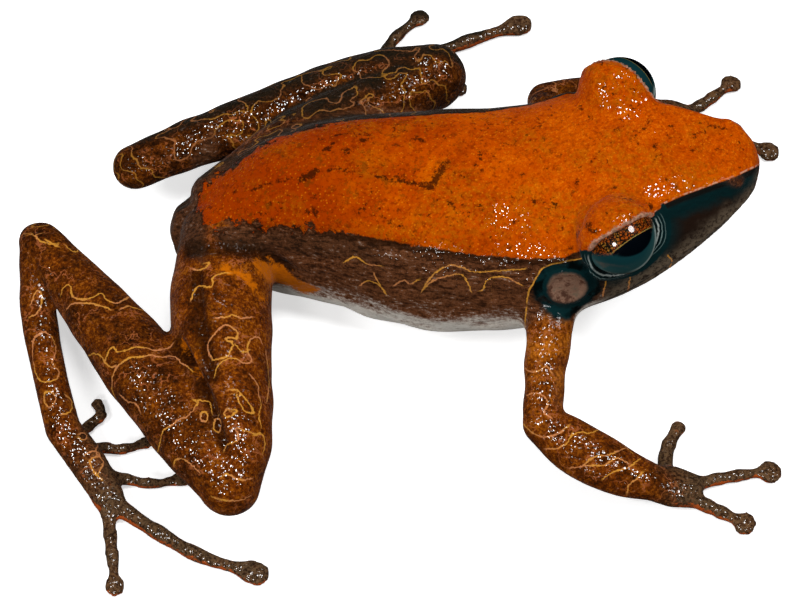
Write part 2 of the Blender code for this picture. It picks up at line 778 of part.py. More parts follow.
def stand_on_origin(parts, cutters):
    """Shift the frog so that the middle of its base is the origin."""
    corners = []
    for thing in parts.objects:
        points = np.empty(len(thing.data.vertices) * 3)
        thing.data.vertices.foreach_get("co", points)
        points = points.reshape(-1, 3)
        corners += [points.min(axis=0), points.max(axis=0)]
    low = np.min(corners, axis=0)
    high = np.max(corners, axis=0)
    shift = Vector((-(low[0] + high[0]) / 2.0, -(low[1] + high[1]) / 2.0, -low[2]))
    for thing in list(parts.objects) + list(cutters.objects):
        thing.data.transform(Matrix.Translation(shift))


build()
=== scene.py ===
"""Life-size rain frog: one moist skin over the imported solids, two wet eyes and the studio round them.

Lengths in this file are millimetres in the frog's own frame: X runs from the
rump to the snout, Y to the frog's left, Z up from the floor. BodyFrame turns
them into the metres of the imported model.
"""

import logging
from dataclasses import dataclass, field
from enum import Enum
from functools import reduce
from typing import Sequence

import bpy
import numpy as np
from mathutils import Matrix, Vector
from mathutils.bvhtree import BVHTree


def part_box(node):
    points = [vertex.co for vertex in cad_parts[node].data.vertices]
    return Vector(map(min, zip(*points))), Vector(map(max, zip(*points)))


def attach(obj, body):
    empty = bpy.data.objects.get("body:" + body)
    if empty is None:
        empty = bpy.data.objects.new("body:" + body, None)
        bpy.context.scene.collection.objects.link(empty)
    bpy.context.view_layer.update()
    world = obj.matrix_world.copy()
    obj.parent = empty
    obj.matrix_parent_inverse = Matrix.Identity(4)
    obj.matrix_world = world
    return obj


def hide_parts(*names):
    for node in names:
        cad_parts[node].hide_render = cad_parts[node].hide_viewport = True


Array = np.ndarray
Rows = Sequence[Sequence[float]] | np.ndarray

log = logging.getLogger("rain_frog")
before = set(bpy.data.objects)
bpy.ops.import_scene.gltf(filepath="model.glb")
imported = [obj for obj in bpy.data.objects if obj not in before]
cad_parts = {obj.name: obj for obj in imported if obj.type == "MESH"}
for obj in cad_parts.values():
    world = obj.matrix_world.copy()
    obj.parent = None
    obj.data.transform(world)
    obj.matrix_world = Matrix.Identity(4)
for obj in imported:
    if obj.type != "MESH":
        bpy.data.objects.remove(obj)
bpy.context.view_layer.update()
MM = 0.001
FAR = 9.0  # stands for any distance that no longer matters
UP = np.array([0.0, 0.0, 1.0])
WHITE = (1.0, 1.0, 1.0, 1.0)


class Side(Enum):
    """The two sides of the frog, by the sign of Y."""

    RIGHT = -1
    LEFT = 1


# ---------------------------------------------------------------- shared maths


def unit(vectors: Sequence[float] | Array) -> Array:
    """Scale vectors to length one along the last axis."""
    vectors = np.asarray(vectors, float)
    return vectors / np.maximum(np.linalg.norm(vectors, axis=-1, keepdims=True), 1e-12)


def away(points: Array, place: Array) -> Array:
    """Measure each point's distance from a place."""
    return np.linalg.norm(points - place, axis=1)


def rise(low: float, high: float, values: Array) -> Array:
    """Rise softly from 0 at low to 1 at high, or fall where high is the smaller one."""
    share = np.clip((values - low) / (high - low), 0.0, 1.0)
    return share * share * (3.0 - 2.0 * share)


def bell(distance: Array, width: float) -> Array:
    """Give a bell of height one whose share falls to 0.37 at the given width."""
    return np.exp(-((distance / width) ** 2))


def fade(share: Array, part: float) -> Array:
    """Rise over the first part of a line's length and fall over the last."""
    return rise(0.0, part, share) * rise(1.0, 1.0 - part, share)


def spline(rows: Rows, per_span: int, monotone: bool = False) -> Array:
    """Carry a smooth curve through rows of values.

    Each span is the cubic that meets both rows with the slopes of their
    neighbours; with monotone the slopes are harmonic means, so nothing overshoots.

    Args:
        rows: the values that the curve passes through.
        per_span: steps between two rows.
        monotone: keep every column between its neighbouring rows.

    Returns:
        The rows of the curve.
    """
    values = np.asarray(rows, float)
    steps = np.diff(values, axis=0)
    before, after = steps[:-1], steps[1:]
    inner = (before + after) / 2.0
    if monotone:
        total = np.where(np.abs(before + after) > 1e-9, before + after, 1.0)
        inner = np.where(before * after > 0.0, 2.0 * before * after / total, 0.0)
    slopes = np.concatenate([steps[:1], inner, steps[-1:]])
    place = np.linspace(0.0, len(values) - 1.0, per_span * (len(values) - 1) + 1)
    span = np.minimum(place.astype(int), len(values) - 2)
    t = (place - span).reshape(-1, *[1] * (values.ndim - 1))
    start = (1.0 + 2.0 * t) * (1.0 - t) ** 2 * values[span] + t * (1.0 - t) ** 2 * slopes[span]
    return start + t**2 * (3.0 - 2.0 * t) * values[span + 1] + t**2 * (t - 1.0) * slopes[span + 1]


@dataclass(frozen=True)
class Ripples:
    """A smooth random field: a sum of plane waves of one length and random headings."""

    length: float
    seed: int
    waves: int = 28
    stretch: tuple[float, float, float] = (1.0, 1.0, 1.0)

    def value(self, points: Array) -> Array:
        """Sum the sines of the waves at each point.

        Args:
            points: places to look at, in millimetres.

        Returns:
            The field's value at each point, about -1 to 1.
        """
        random = np.random.default_rng(self.seed)
        heading = unit(random.normal(size=(self.waves, 3)))
        spread = random.uniform(0.75, 1.35, (self.waves, 1))
        vectors = heading * spread * (2.0 * np.pi / self.length) / np.array(self.stretch)
        phases = random.uniform(0.0, 2.0 * np.pi, self.waves)
        return np.sin(points @ vectors.T + phases).sum(axis=1) / np.sqrt(self.waves)


@dataclass
class Path:
    """A smooth line through points, with its nearest point for any other point."""

    points: Rows
    per_span: int

    def nearest(self, points: Array, reach: float = 3.0) -> tuple[Array, Array]:
        """Find the nearest point of the line.

        Args:
            points: places to measure from.
            reach: how far round the line is looked; places past it get this distance.

        Returns:
            The distance and the share along the line.
        """
        line = spline(self.points, self.per_span)
        box = (points > line.min(axis=0) - reach) & (points < line.max(axis=0) + reach)
        near = np.flatnonzero(box.all(axis=1))
        places, best, share = points[near], np.full(len(near), np.inf), np.zeros(len(near))
        for index, (start, step) in enumerate(zip(line, np.diff(line, axis=0))):
            along = np.clip((places - start) @ step / max(step @ step, 1e-9), 0.0, 1.0)
            distance = np.linalg.norm(places - start - along[:, None] * step, axis=1)
            closer = distance < best
            best[closer] = distance[closer]
            share[closer] = (index + along[closer]) / (len(line) - 1)
        distances, shares = np.full(len(points), reach), np.zeros(len(points))
        distances[near], shares[near] = best, share
        return distances, shares


@dataclass
class Shell:
    """A gathering of closed surfaces as one list of points and faces."""

    points: list[Array] = field(default_factory=list)
    faces: list[Array] = field(default_factory=list)
    count: int = 0

    def add(self, grid: Array) -> None:
        """Add a closed tube: quads join its rings, and a pole closes each end.

        Args:
            grid: rings by points by 3.
        """
        rings, sides = grid.shape[:2]
        index = np.arange(rings * sides).reshape(rings, sides) + self.count
        beside = np.roll(index, -1, axis=1)
        walls = np.stack([index[:-1], beside[:-1], beside[1:], index[1:]], axis=-1).reshape(-1, 4)
        first = np.full(sides, self.count + rings * sides)
        start = np.stack([beside[0], index[0], first, first], axis=-1)
        end = np.stack([index[-1], beside[-1], first + 1, first + 1], axis=-1)
        poles = (grid[0].mean(axis=0), grid[-1].mean(axis=0))
        self.points.append(np.vstack([grid.reshape(-1, 3), *poles]))
        self.faces += [walls, start, end]
        self.count += rings * sides + 2

    def mesh(self, name: str) -> bpy.types.Mesh:
        """Make the mesh, with each pole face as a triangle.

        Args:
            name: what the mesh is called.

        Returns:
            The mesh of all the surfaces added so far.
        """
        faces = [tuple(dict.fromkeys(face)) for block in self.faces for face in block.tolist()]
        made = bpy.data.meshes.new(name)
        made.from_pydata(np.concatenate(self.points), [], faces)
        return made


CAP_ANGLES = (18.0, 36.0, 54.0, 70.0, 82.0)


def tube(rows: Array, sides: int, on_floor: bool = False, disc_cap: bool = False) -> Array:
    """Carry an oval along a path, with a round cap at each end.

    Ring points are the middle plus cosine times half width across the path plus
    sine times half height above it. The caps shrink the end rings by the cosine
    of an angle while they move outward by its sine.

    Args:
        rows: middle x, y, z, half width and half height of each ring.
        sides: points in a ring.
        on_floor: press what is below the floor flat onto it.
        disc_cap: round the caps by the width instead of the smaller half size.

    Returns:
        The grid of ring points.
    """
    caps = np.radians(CAP_ANGLES)
    ends = np.zeros(len(caps), int)
    index = np.concatenate([ends, np.arange(len(rows)), ends + len(rows) - 1])
    push = np.concatenate([-np.sin(caps[::-1]), np.zeros(len(rows)), np.sin(caps)])
    shrink = np.concatenate([np.cos(caps[::-1]), np.ones(len(rows)), np.cos(caps)])
    along = unit(np.gradient(rows[:, :3], axis=0))[index]
    across = unit(np.cross(along, UP))
    places, sizes = rows[index, :3], rows[index, 3:5]
    radius = sizes[:, 0] if disc_cap else sizes.min(axis=1)
    turn = np.linspace(0.0, 2.0 * np.pi, sides, endpoint=False)[:, None]
    half = (sizes * shrink[:, None])[:, :, None]
    grid = (places + along * (push * radius)[:, None])[:, None]
    grid = grid + half[:, :1] * np.cos(turn) * across[:, None]
    grid = grid + half[:, 1:] * np.sin(turn) * np.cross(across, along)[:, None]
    if on_floor:
        grid[..., 2] = np.maximum(grid[..., 2], 0.0)
    return grid


def stand(name: str, data: bpy.types.ID) -> bpy.types.Object:
    """Make an object of its data and put it in the scene.

    Args:
        name: what the object is called.
        data: its mesh, camera or lamp.

    Returns:
        The object.
    """
    made = bpy.data.objects.new(name, data)
    bpy.context.scene.collection.objects.link(made)
    return made


def carry(mesh: bpy.types.Mesh, marks: dict[str, Array]) -> None:
    """Store values on a mesh's points, where its finish reads them.

    Args:
        mesh: the mesh that holds them.
        marks: one value for each point, under each mark's name.
    """
    for name, values in marks.items():
        held = mesh.attributes.new(name, "FLOAT", "POINT")
        held.data.foreach_set("value", np.ascontiguousarray(values, np.float32))


# ------------------------------------------------------------ the frog's sizes


@dataclass
class Trunk:
    """The trunk and head: cross-sections from the rump to the tip of the snout.

    A station holds x, middle y, top height, then the distance out and the height
    of the back edge, the flank and the lower flank, and last the keel height.
    """

    stations: Rows = (
        (-22.3, -1.0, 5.2, 0.05, 5.1, 0.08, 4.8, 0.05, 4.5, 4.4),
        (-22.0, -1.0, 6.0, 0.8, 5.7, 1.5, 4.8, 1.1, 3.7, 3.3),
        (-20.7, -0.9, 7.0, 1.4, 6.4, 2.6, 5.0, 2.2, 2.8, 2.2),
        (-18.2, -0.5, 9.1, 2.4, 8.3, 4.0, 5.4, 3.4, 2.2, 1.5),
        (-14.5, 0.1, 11.2, 3.5, 10.0, 5.2, 5.6, 4.6, 1.7, 1.0),
        (-10.3, 0.25, 12.0, 4.4, 10.6, 6.3, 5.4, 5.7, 1.6, 0.8),
        (-6.0, 0.0, 12.2, 5.1, 10.8, 7.6, 5.2, 6.8, 1.6, 0.8),
        (-1.5, -0.3, 12.4, 5.6, 10.9, 8.3, 5.2, 7.3, 1.8, 1.0),
        (3.5, -0.5, 12.8, 5.9, 11.2, 8.4, 5.9, 7.2, 2.5, 1.8),
        (7.2, -0.3, 13.3, 6.2, 11.8, 8.5, 7.3, 6.8, 3.9, 3.2),
        (10.7, 0.1, 13.9, 5.2, 12.7, 7.8, 7.3, 6.0, 4.9, 4.2),
        (14.0, 0.35, 13.8, 4.2, 13.2, 6.5, 8.2, 4.9, 6.2, 5.6),
        (17.0, 0.6, 13.3, 3.1, 12.9, 4.8, 9.1, 3.5, 7.6, 7.1),
        (19.2, 0.75, 12.8, 2.2, 12.5, 3.2, 9.9, 2.3, 8.8, 8.5),
        (20.5, 0.85, 12.2, 1.2, 11.9, 1.7, 10.5, 1.2, 9.8, 9.6),
        (20.95, 0.85, 11.4, 0.05, 11.3, 0.08, 10.9, 0.05, 10.7, 10.6),
    )
    per_span: int = 8
    per_corner: int = 10
    bins: int = 90
    mouth_point: tuple[float, float, float] = (8.8, 0.0, 6.0)
    mouth_pitch: float = 18.0

    def guides(self) -> Array:
        """Give the guide sizes at close steps along the trunk."""
        return spline(self.stations, self.per_span, monotone=True)

    def middle(self, x: Array | float) -> Array:
        """Give the Y of the trunk's middle at each x."""
        rows = self.guides()
        return np.interp(x, rows[:, 0], rows[:, 1])

    def grid(self) -> Array:
        """Carry a smooth closed curve through the eight corners of every section.

        Returns:
            Points round the trunk, one ring for each guide row.
        """
        rows = self.guides()
        zero, edge, flank, low = np.zeros(len(rows)), rows[:, 3], rows[:, 5], rows[:, 7]
        out = np.stack([zero, edge, flank, low, zero, -low, -flank, -edge])
        ring = np.stack([out, rows[:, [2, 4, 6, 8, 9, 8, 6, 4]].T], axis=-1)
        wrapped = spline(np.concatenate([ring[-2:], ring, ring[:3]]), self.per_corner)
        section = wrapped[2 * self.per_corner : (2 + len(ring)) * self.per_corner]
        x = np.broadcast_to(rows[:, 0], section.shape[:2])
        return np.stack([x, section[..., 0] + rows[:, 1], section[..., 1]], axis=-1).transpose(1, 0, 2)

    def ratio(self, points: Array) -> Array:
        """Compare each point's distance from the trunk's axis with the skin's in that direction.

        Args:
            points: places to look at.

        Returns:
            1 on the trunk's skin, less inside and more outside.
        """
        rows, (x, y, z) = self.guides(), points.T
        steps, circle = np.arange(len(rows)), 2.0 * np.pi
        axis_y, axis_z = rows[:, 1], (rows[:, 2] + rows[:, 9]) / 2.0
        turn = np.linspace(-np.pi, np.pi, self.bins + 1)
        table = np.empty((len(rows), len(turn)))
        for index, ring in enumerate(self.grid()):
            across, above = ring[:, 1] - axis_y[index], ring[:, 2] - axis_z[index]
            angle = np.arctan2(above, across)
            table[index] = np.interp(turn, angle, np.hypot(across, above), period=circle)
        place = np.interp(x, rows[:, 0], steps)
        y, z = y - np.interp(place, steps, axis_y), z - np.interp(place, steps, axis_z)
        row = np.minimum(place.astype(int), len(rows) - 2)
        slot = (np.arctan2(z, y) + np.pi) / circle * self.bins
        column = np.clip(slot.astype(int), 0, self.bins - 1)
        a, b = place - row, slot - column
        near, far = (table[k, column] * (1 - b) + table[k, column + 1] * b for k in (row, row + 1))
        beyond = np.maximum(rows[0, 0] - x, 0.0) + np.maximum(x - rows[-1, 0], 0.0)
        return np.hypot(y, z) / np.maximum(near * (1 - a) + far * a, 0.3) + beyond

    def mouth_height(self, points: Array) -> Array:
        """Measure each point's height above the plane of the closed mouth."""
        pitch = np.radians(self.mouth_pitch)
        return (points - np.array(self.mouth_point)) @ np.array([-np.sin(pitch), 0.0, np.cos(pitch)])


@dataclass
class Limb:
    """An arm or leg: rings of x, y, z, half width and half height for each piece."""

    name: str
    pieces: dict[str, Rows]
    per_span: int = 10
    sides: int = 40
    flat: tuple[str, ...] = ("hand", "foot")

    def grids(self) -> list[Array]:
        """Give one round-ended tube for each piece.

        Returns:
            The tubes' grids of ring points.
        """
        return [
            tube(spline(rows, self.per_span), self.sides, on_floor=name in self.flat)
            for name, rows in self.pieces.items()
        ]


LIMBS = (
    Limb(
        "right_arm",
        {
            "upper_arm": (
                (5.4, -6.0, 6.0, 2.1, 1.9), (5.85, -9.0, 5.4, 1.85, 1.7), (5.5, -13.0, 4.4, 1.5, 1.45),
                (5.4, -16.6, 3.5, 1.5, 1.5),
            ),
            "forearm": (
                (5.4, -16.6, 3.5, 1.55, 1.55), (8.1, -18.4, 2.9, 2.05, 1.7), (10.9, -19.7, 2.2, 1.85, 1.5),
                (13.4, -20.3, 1.5, 1.35, 1.15),
            ),
            "hand": (
                (13.4, -20.3, 1.5, 1.4, 1.1), (14.9, -20.4, 1.1, 1.6, 0.9), (16.2, -20.4, 0.8, 1.25, 0.75),
            ),
        },
    ),
    Limb(
        "left_arm",
        {
            "upper_arm": ((5.2, 5.5, 6.0, 1.7, 1.9), (5.2, 8.2, 4.8, 1.4, 1.5), (5.3, 11.3, 3.0, 1.4, 1.4)),
            "forearm": (
                (5.3, 11.3, 3.0, 1.45, 1.45), (8.1, 11.7, 2.7, 1.7, 1.5), (11.0, 11.6, 2.1, 1.4, 1.2),
                (13.3, 11.2, 1.5, 1.15, 1.0),
            ),
            "hand": (
                (13.3, 11.2, 1.5, 1.15, 0.95), (14.7, 11.1, 1.1, 1.45, 0.85), (16.0, 11.0, 0.8, 1.25, 0.75),
            ),
        },
    ),
    Limb(
        "right_leg",
        {
            "thigh": (
                (-18.0, -2.5, 5.8, 3.4, 3.2),
                (-18.1, -8.0, 5.8, 3.75, 3.4),
                (-17.6, -14.0, 5.7, 3.45, 3.2),
                (-16.8, -19.0, 5.4, 2.9, 2.9),
                (-16.9, -22.4, 5.1, 2.3, 2.5),
            ),
            "shank": (
                (-16.9, -22.4, 5.1, 2.2, 2.5),
                (-19.7, -18.3, 5.2, 2.9, 2.6),
                (-24.2, -12.2, 5.0, 2.9, 2.5),
                (-28.9, -5.9, 4.5, 2.15, 1.9),
                (-32.0, -1.9, 4.0, 1.65, 1.6),
            ),
            "tarsus": (
                (-32.0, -1.9, 4.0, 1.6, 1.6),
                (-31.9, -7.0, 3.0, 1.35, 1.3),
                (-30.8, -12.0, 2.2, 1.25, 1.2),
                (-29.6, -16.2, 1.6, 1.3, 1.2),
            ),
            "foot": (
                (-29.6, -16.2, 1.6, 1.3, 1.15),
                (-27.6, -18.8, 1.1, 1.35, 0.95),
                (-25.9, -21.5, 0.8, 1.15, 0.8),
            ),
        },
    ),
    Limb(
        "left_leg",
        {
            "thigh": (
                (-18.3, 0.7, 5.7, 2.6, 2.8),
                (-13.0, 4.6, 6.2, 3.0, 3.2),
                (-8.2, 8.0, 5.9, 3.0, 3.1),
                (-3.1, 11.8, 5.6, 2.1, 2.5),
            ),
            "shank": (
                (-3.1, 11.8, 5.6, 2.4, 2.7),
                (-8.2, 10.7, 5.8, 2.6, 2.6),
                (-14.3, 8.55, 5.6, 2.35, 2.3),
                (-20.6, 6.35, 5.1, 1.9, 1.85),
                (-25.4, 4.65, 4.2, 1.7, 1.6),
            ),
            "tarsus": (
                (-25.4, 4.65, 4.2, 1.55, 1.5),
                (-21.0, 7.2, 2.5, 1.15, 1.15),
                (-16.6, 9.5, 1.7, 1.15, 1.1),
                (-12.4, 11.7, 1.4, 1.25, 1.05),
            ),
            "foot": (
                (-12.4, 11.7, 1.4, 1.25, 1.0),
                (-9.8, 13.2, 1.0, 1.35, 0.9),
                (-6.9, 14.9, 0.8, 1.15, 0.8),
            ),
        },
    ),
)


@dataclass
class Digit:
    """A finger or toe: its path on the floor, its thickness and half the width of its disc."""

    path: Rows
    thickness: float
    disc: float
    places: tuple[float, ...] = (0.0, 0.14, 0.30, 0.38, 0.52, 0.62, 0.74, 0.86, 0.95, 1.0)
    widths: tuple[float, ...] = (1.75, 1.15, 0.94, 1.06, 0.86, 1.02, 0.82, 0.80)
    heights: tuple[float, ...] = (1.25, 1.10, 0.94, 1.02, 0.88, 0.96, 0.82, 0.78, 0.80, 0.70)
    disc_widths: tuple[float, ...] = (0.92, 1.0)
    stance: float = 0.9
    per_span: int = 8
    sides: int = 28

    def rows(self) -> Array:
        """Give the digit's rings: thin behind the disc and wide at its tip.

        Returns:
            Middle x, y, z, half width and half height of each ring.
        """
        path = spline(self.path, self.per_span)
        steps = np.linalg.norm(np.diff(path, axis=0), axis=1)
        run = np.append(0.0, np.cumsum(steps)) / steps.sum()
        x, y = (np.interp(self.places, run, path[:, k]) for k in (0, 1))
        half = self.thickness / 2.0
        wide = np.append(half * np.array(self.widths), self.disc * np.array(self.disc_widths))
        high = half * np.array(self.heights)
        return np.stack([x, y, high * self.stance, wide, high], axis=1)

    def grid(self) -> Array:
        """Give the digit as a round-ended tube lying on the floor."""
        rings = spline(self.rows(), self.per_span)
        return tube(rings, self.sides, on_floor=True, disc_cap=True)


DIGITS = (
    # right fingers, from the first outward
    Digit(((14.2, -19.9), (13.1, -18.9), (12.0, -18.3), (11.0, -18.1)), 0.75, 0.45),
    Digit(((14.3, -19.4), (14.2, -18.1), (14.45, -16.7), (15.15, -15.2)), 1.15, 0.6),
    Digit(((15.6, -20.1), (17.8, -19.45), (20.0, -19.0), (21.7, -18.75)), 1.0, 0.95),
    Digit(((15.6, -20.9), (17.2, -21.6), (18.6, -22.3), (19.8, -22.9)), 1.1, 0.95),
    # left fingers, from the first outward
    Digit(((14.0, 10.6), (14.6, 9.2), (15.4, 7.8), (16.2, 6.8)), 0.9, 0.6),
    Digit(((15.2, 10.7), (16.4, 9.8), (17.6, 8.6), (18.6, 7.4)), 0.9, 0.65),
    Digit(((15.7, 11.1), (17.8, 10.6), (20.2, 9.3), (22.1, 8.5)), 1.0, 0.85),
    Digit(((15.2, 11.6), (16.6, 12.3), (18.0, 13.4), (19.3, 14.6)), 1.0, 0.85),
    # right toes, from the first outward
    Digit(((-28.9, -16.4), (-27.7, -15.1), (-27.0, -14.3), (-27.4, -13.4)), 0.9, 0.5),
    Digit(((-28.4, -17.4), (-26.8, -17.1), (-25.3, -17.2), (-23.6, -16.6)), 0.9, 0.55),
    Digit(((-27.4, -19.0), (-25.2, -19.6), (-23.1, -20.0), (-20.8, -19.6)), 0.9, 0.65),
    Digit(((-26.3, -21.3), (-22.8, -23.7), (-19.1, -25.9), (-15.0, -27.2)), 1.15, 0.95),
    Digit(((-26.1, -21.7), (-25.8, -23.8), (-25.5, -25.8), (-25.15, -28.3)), 1.0, 0.75),
    # left toes, from the first outward
    Digit(((-11.4, 11.7), (-10.2, 10.6), (-9.2, 9.8), (-8.2, 9.4)), 0.9, 0.55),
    Digit(((-10.2, 12.4), (-8.6, 12.0), (-7.0, 11.8), (-5.4, 12.0)), 0.9, 0.6),
    Digit(((-8.6, 13.6), (-6.0, 13.9), (-3.6, 14.0), (-1.4, 14.2)), 0.9, 0.7),
    Digit(((-7.2, 14.7), (-4.4, 16.6), (-0.8, 18.4), (3.2, 20.0)), 1.15, 0.95),
    Digit(((-7.4, 14.9), (-7.2, 17.2), (-6.3, 18.9), (-4.6, 20.7)), 1.0, 0.75),
)


@dataclass
class EyeSeat:
    """Where one eye sits, how its lids open round it, and the eardrum behind it."""

    side: Side
    forward: float = 10.75
    out: float = 6.0
    shift: float = 0.1
    up: float = 12.0
    radius: float = 2.7
    turn: float = 35.0
    tilt: float = 14.0
    dome: float = 3.03
    bead: float = 0.38
    bead_out: float = 1.1
    bead_reach: float = 3.15
    rim_top: float = 58.0
    rim_bottom: float = 66.0
    rim_front: float = 74.0
    rim_back: float = 80.0
    floor_radius: float = 2.35
    ear: tuple[float, float, float] = (7.1, 8.45, 8.9)
    ear_radius: float = 1.45
    rings: int = 24
    sides: int = 36
    bead_rings: int = 40
    bead_sides: int = 16

    def centre(self) -> Array:
        """Give the middle of the eyeball."""
        return np.array([self.forward, self.side.value * self.out + self.shift, self.up])

    def ear_centre(self) -> Array:
        """Give the middle of the eardrum."""
        return np.array(self.ear) * (1.0, self.side.value, 1.0)

    def axes(self, tilt: float | None = None) -> tuple[Array, Array, Array]:
        """Work out the eye's own frame, from its turn and tilt.

        Args:
            tilt: degrees that it looks up, or none for the lid opening's own tilt.

        Returns:
            The directions toward the snout, up and outward, which is where the lids open.
        """
        lift, turn = np.radians([self.tilt if tilt is None else tilt, self.turn])
        level = np.array([np.sin(turn), self.side.value * np.cos(turn), 0.0])
        outward = np.cos(lift) * level + np.sin(lift) * UP
        front = unit(np.array([1.0, 0.0, 0.0]) - outward[0] * outward)
        front = unit(front - front[2] * UP)
        front = unit(front - (front @ outward) * outward)
        return front, np.cross(outward, front) * -self.side.value, outward

    def inside(self, points: Array) -> Array:
        """Measure how far each point lies within the lid opening.

        The rim's angle from the opening axis blends the front, back, top and
        bottom values by the squared cosine and sine of the turn round the axis.

        Args:
            points: places to look at.

        Returns:
            Millimetres along the eyeball, positive inside the opening.
        """
        f, u, o = (unit(points - self.centre()) @ axis for axis in self.axes())
        polar = np.degrees(np.arccos(np.clip(o, -1.0, 1.0)))
        flat = np.maximum(np.hypot(f, u), 1e-6)
        level = np.where(f > 0.0, self.rim_front, self.rim_back)
        steep = np.where(u > 0.0, self.rim_top, self.rim_bottom)
        rim = (level * f**2 + steep * u**2) / flat**2
        return np.radians(rim - polar) * self.radius

    def open_lids(self, points: Array) -> Array:
        """Sink the skin under the eyeball inside the lid opening.

        Args:
            points: places on the skin.

        Returns:
            The places after the sinking.
        """
        rel = points - self.centre()
        span = np.linalg.norm(rel, axis=1)
        sink = rise(-0.02, 0.22, self.inside(points)) * rise(4.0, 3.5, span)
        scale = 1.0 + sink * (np.minimum(span, self.floor_radius) / np.maximum(span, 1e-6) - 1.0)
        return self.centre() + rel * scale[:, None]

    def grids(self) -> list[Array]:
        """Give the lids' closed forms.

        Returns:
            The upper lid, a sphere round the eyeball, and the lower one, a round bead under it.
        """
        height = np.linspace(-0.495 * np.pi, 0.495 * np.pi, self.rings)[:, None]
        turn = np.linspace(0.0, 2.0 * np.pi, self.sides, endpoint=False)
        level = np.cos(height)
        ball = [level * np.cos(turn), level * np.sin(turn), np.sin(height) + 0.0 * turn]
        front, _, outward = self.axes(0.0)
        sweep = np.linspace(0.04 * np.pi, 0.96 * np.pi, self.bead_rings)[:, None]
        ring = np.sqrt(self.bead_reach**2 - self.bead_out**2)
        spoke = np.cos(sweep) * front - np.sin(sweep) * UP
        bead = self.centre() + outward * self.bead_out + spoke * ring
        return [
            self.centre() + self.dome * np.stack(ball, axis=-1),
            tube(np.hstack([bead, np.full((self.bead_rings, 2), self.bead)]), self.bead_sides),
        ]


EYES = (EyeSeat(Side.RIGHT), EyeSeat(Side.LEFT))


# ------------------------------------------------------------------- mesh work


@dataclass
class SkinMesh:
    """The skin as arrays: points, faces and edges, with smoothing and normals."""

    points: Array
    faces: Array
    edges: Array
    forth: float = 0.5
    back: float = -0.52

    def __post_init__(self) -> None:
        """Count the neighbours of every point."""
        self.degree = np.bincount(self.edges.ravel(), minlength=len(self.points)).astype(float)

    def spread(self, values: Array) -> Array:
        """Average each point's neighbours.

        Args:
            values: one value or one row for each point.

        Returns:
            The averages, in the same form.
        """
        if values.ndim > 1:
            return np.stack([self.spread(column) for column in values.T], axis=1)
        (a, b), size = self.edges.T, len(self.points)
        total = np.bincount(a, values[b], size) + np.bincount(b, values[a], size)
        return total / np.maximum(self.degree, 1.0)

    def smooth(self, rounds: int, share: Array | float = 1.0, shrink: bool = False) -> None:
        """Move points toward their neighbours and, unless shrink is set, back again.

        Args:
            rounds: how many passes.
            share: weight of each point.
            shrink: let the form fill its creases instead of keeping its size.
        """
        weight = np.broadcast_to(np.asarray(share, float), len(self.points))[:, None]
        for _ in range(rounds):
            for push in (self.forth,) if shrink else (self.forth, self.back):
                self.points = self.points + push * weight * (self.spread(self.points) - self.points)

    def normals(self) -> Array:
        """Sum the directions of the faces round each point.

        Returns:
            Each point's outward direction.
        """
        p, size = self.points[self.faces], len(self.points)
        facing = np.cross(p[:, 2] - p[:, 0], p[:, 3] - p[:, 1])
        total = [sum(np.bincount(corner, part, size) for corner in self.faces.T) for part in facing.T]
        return unit(np.stack(total, axis=1))


@dataclass
class View:
    """The photograph's viewpoint over the skin: drops picture points onto it."""

    studio: "Studio"
    mesh: SkinMesh
    per_span: int = 6

    def __post_init__(self) -> None:
        """Build the search tree of the skin's faces."""
        self.tree = BVHTree.FromPolygons(self.mesh.points.tolist(), self.mesh.faces.tolist())

    def drop(self, pixels: Rows) -> Array:
        """Follow a smooth line through picture points and drop it on the skin.

        Args:
            pixels: x and y of each point in the 803 by 612 picture.

        Returns:
            The places where the lines of sight meet the skin.
        """
        line, studio = spline(pixels, self.per_span), self.studio
        right, up, back = studio.axes()
        across = (line[:, :1] - studio.width / 2.0) * right
        down = (line[:, 1:] - studio.height / 2.0) * up
        rays = unit(across - down - back * (studio.pixels_per_mm * studio.distance))
        start = Vector(studio.eye_point())
        hits = [self.tree.ray_cast(start, Vector(ray))[0] for ray in rays]
        return np.array([tuple(hit) for hit in hits if hit is not None]).reshape(-1, 3)

    def nearest(self, pixels: Rows, points: Array) -> tuple[Array, Array]:
        """Measure the distance to a dropped line and the share along it."""
        return Path(self.drop(pixels), 1).nearest(points)

    def strokes(self, marks: Sequence["Mark"], points: Array) -> Array:
        """Measure the distance outside the nearest of some strokes, negative within it."""
        return np.minimum.reduce([self.nearest(mark.pixels, points)[0] - mark.radius for mark in marks])


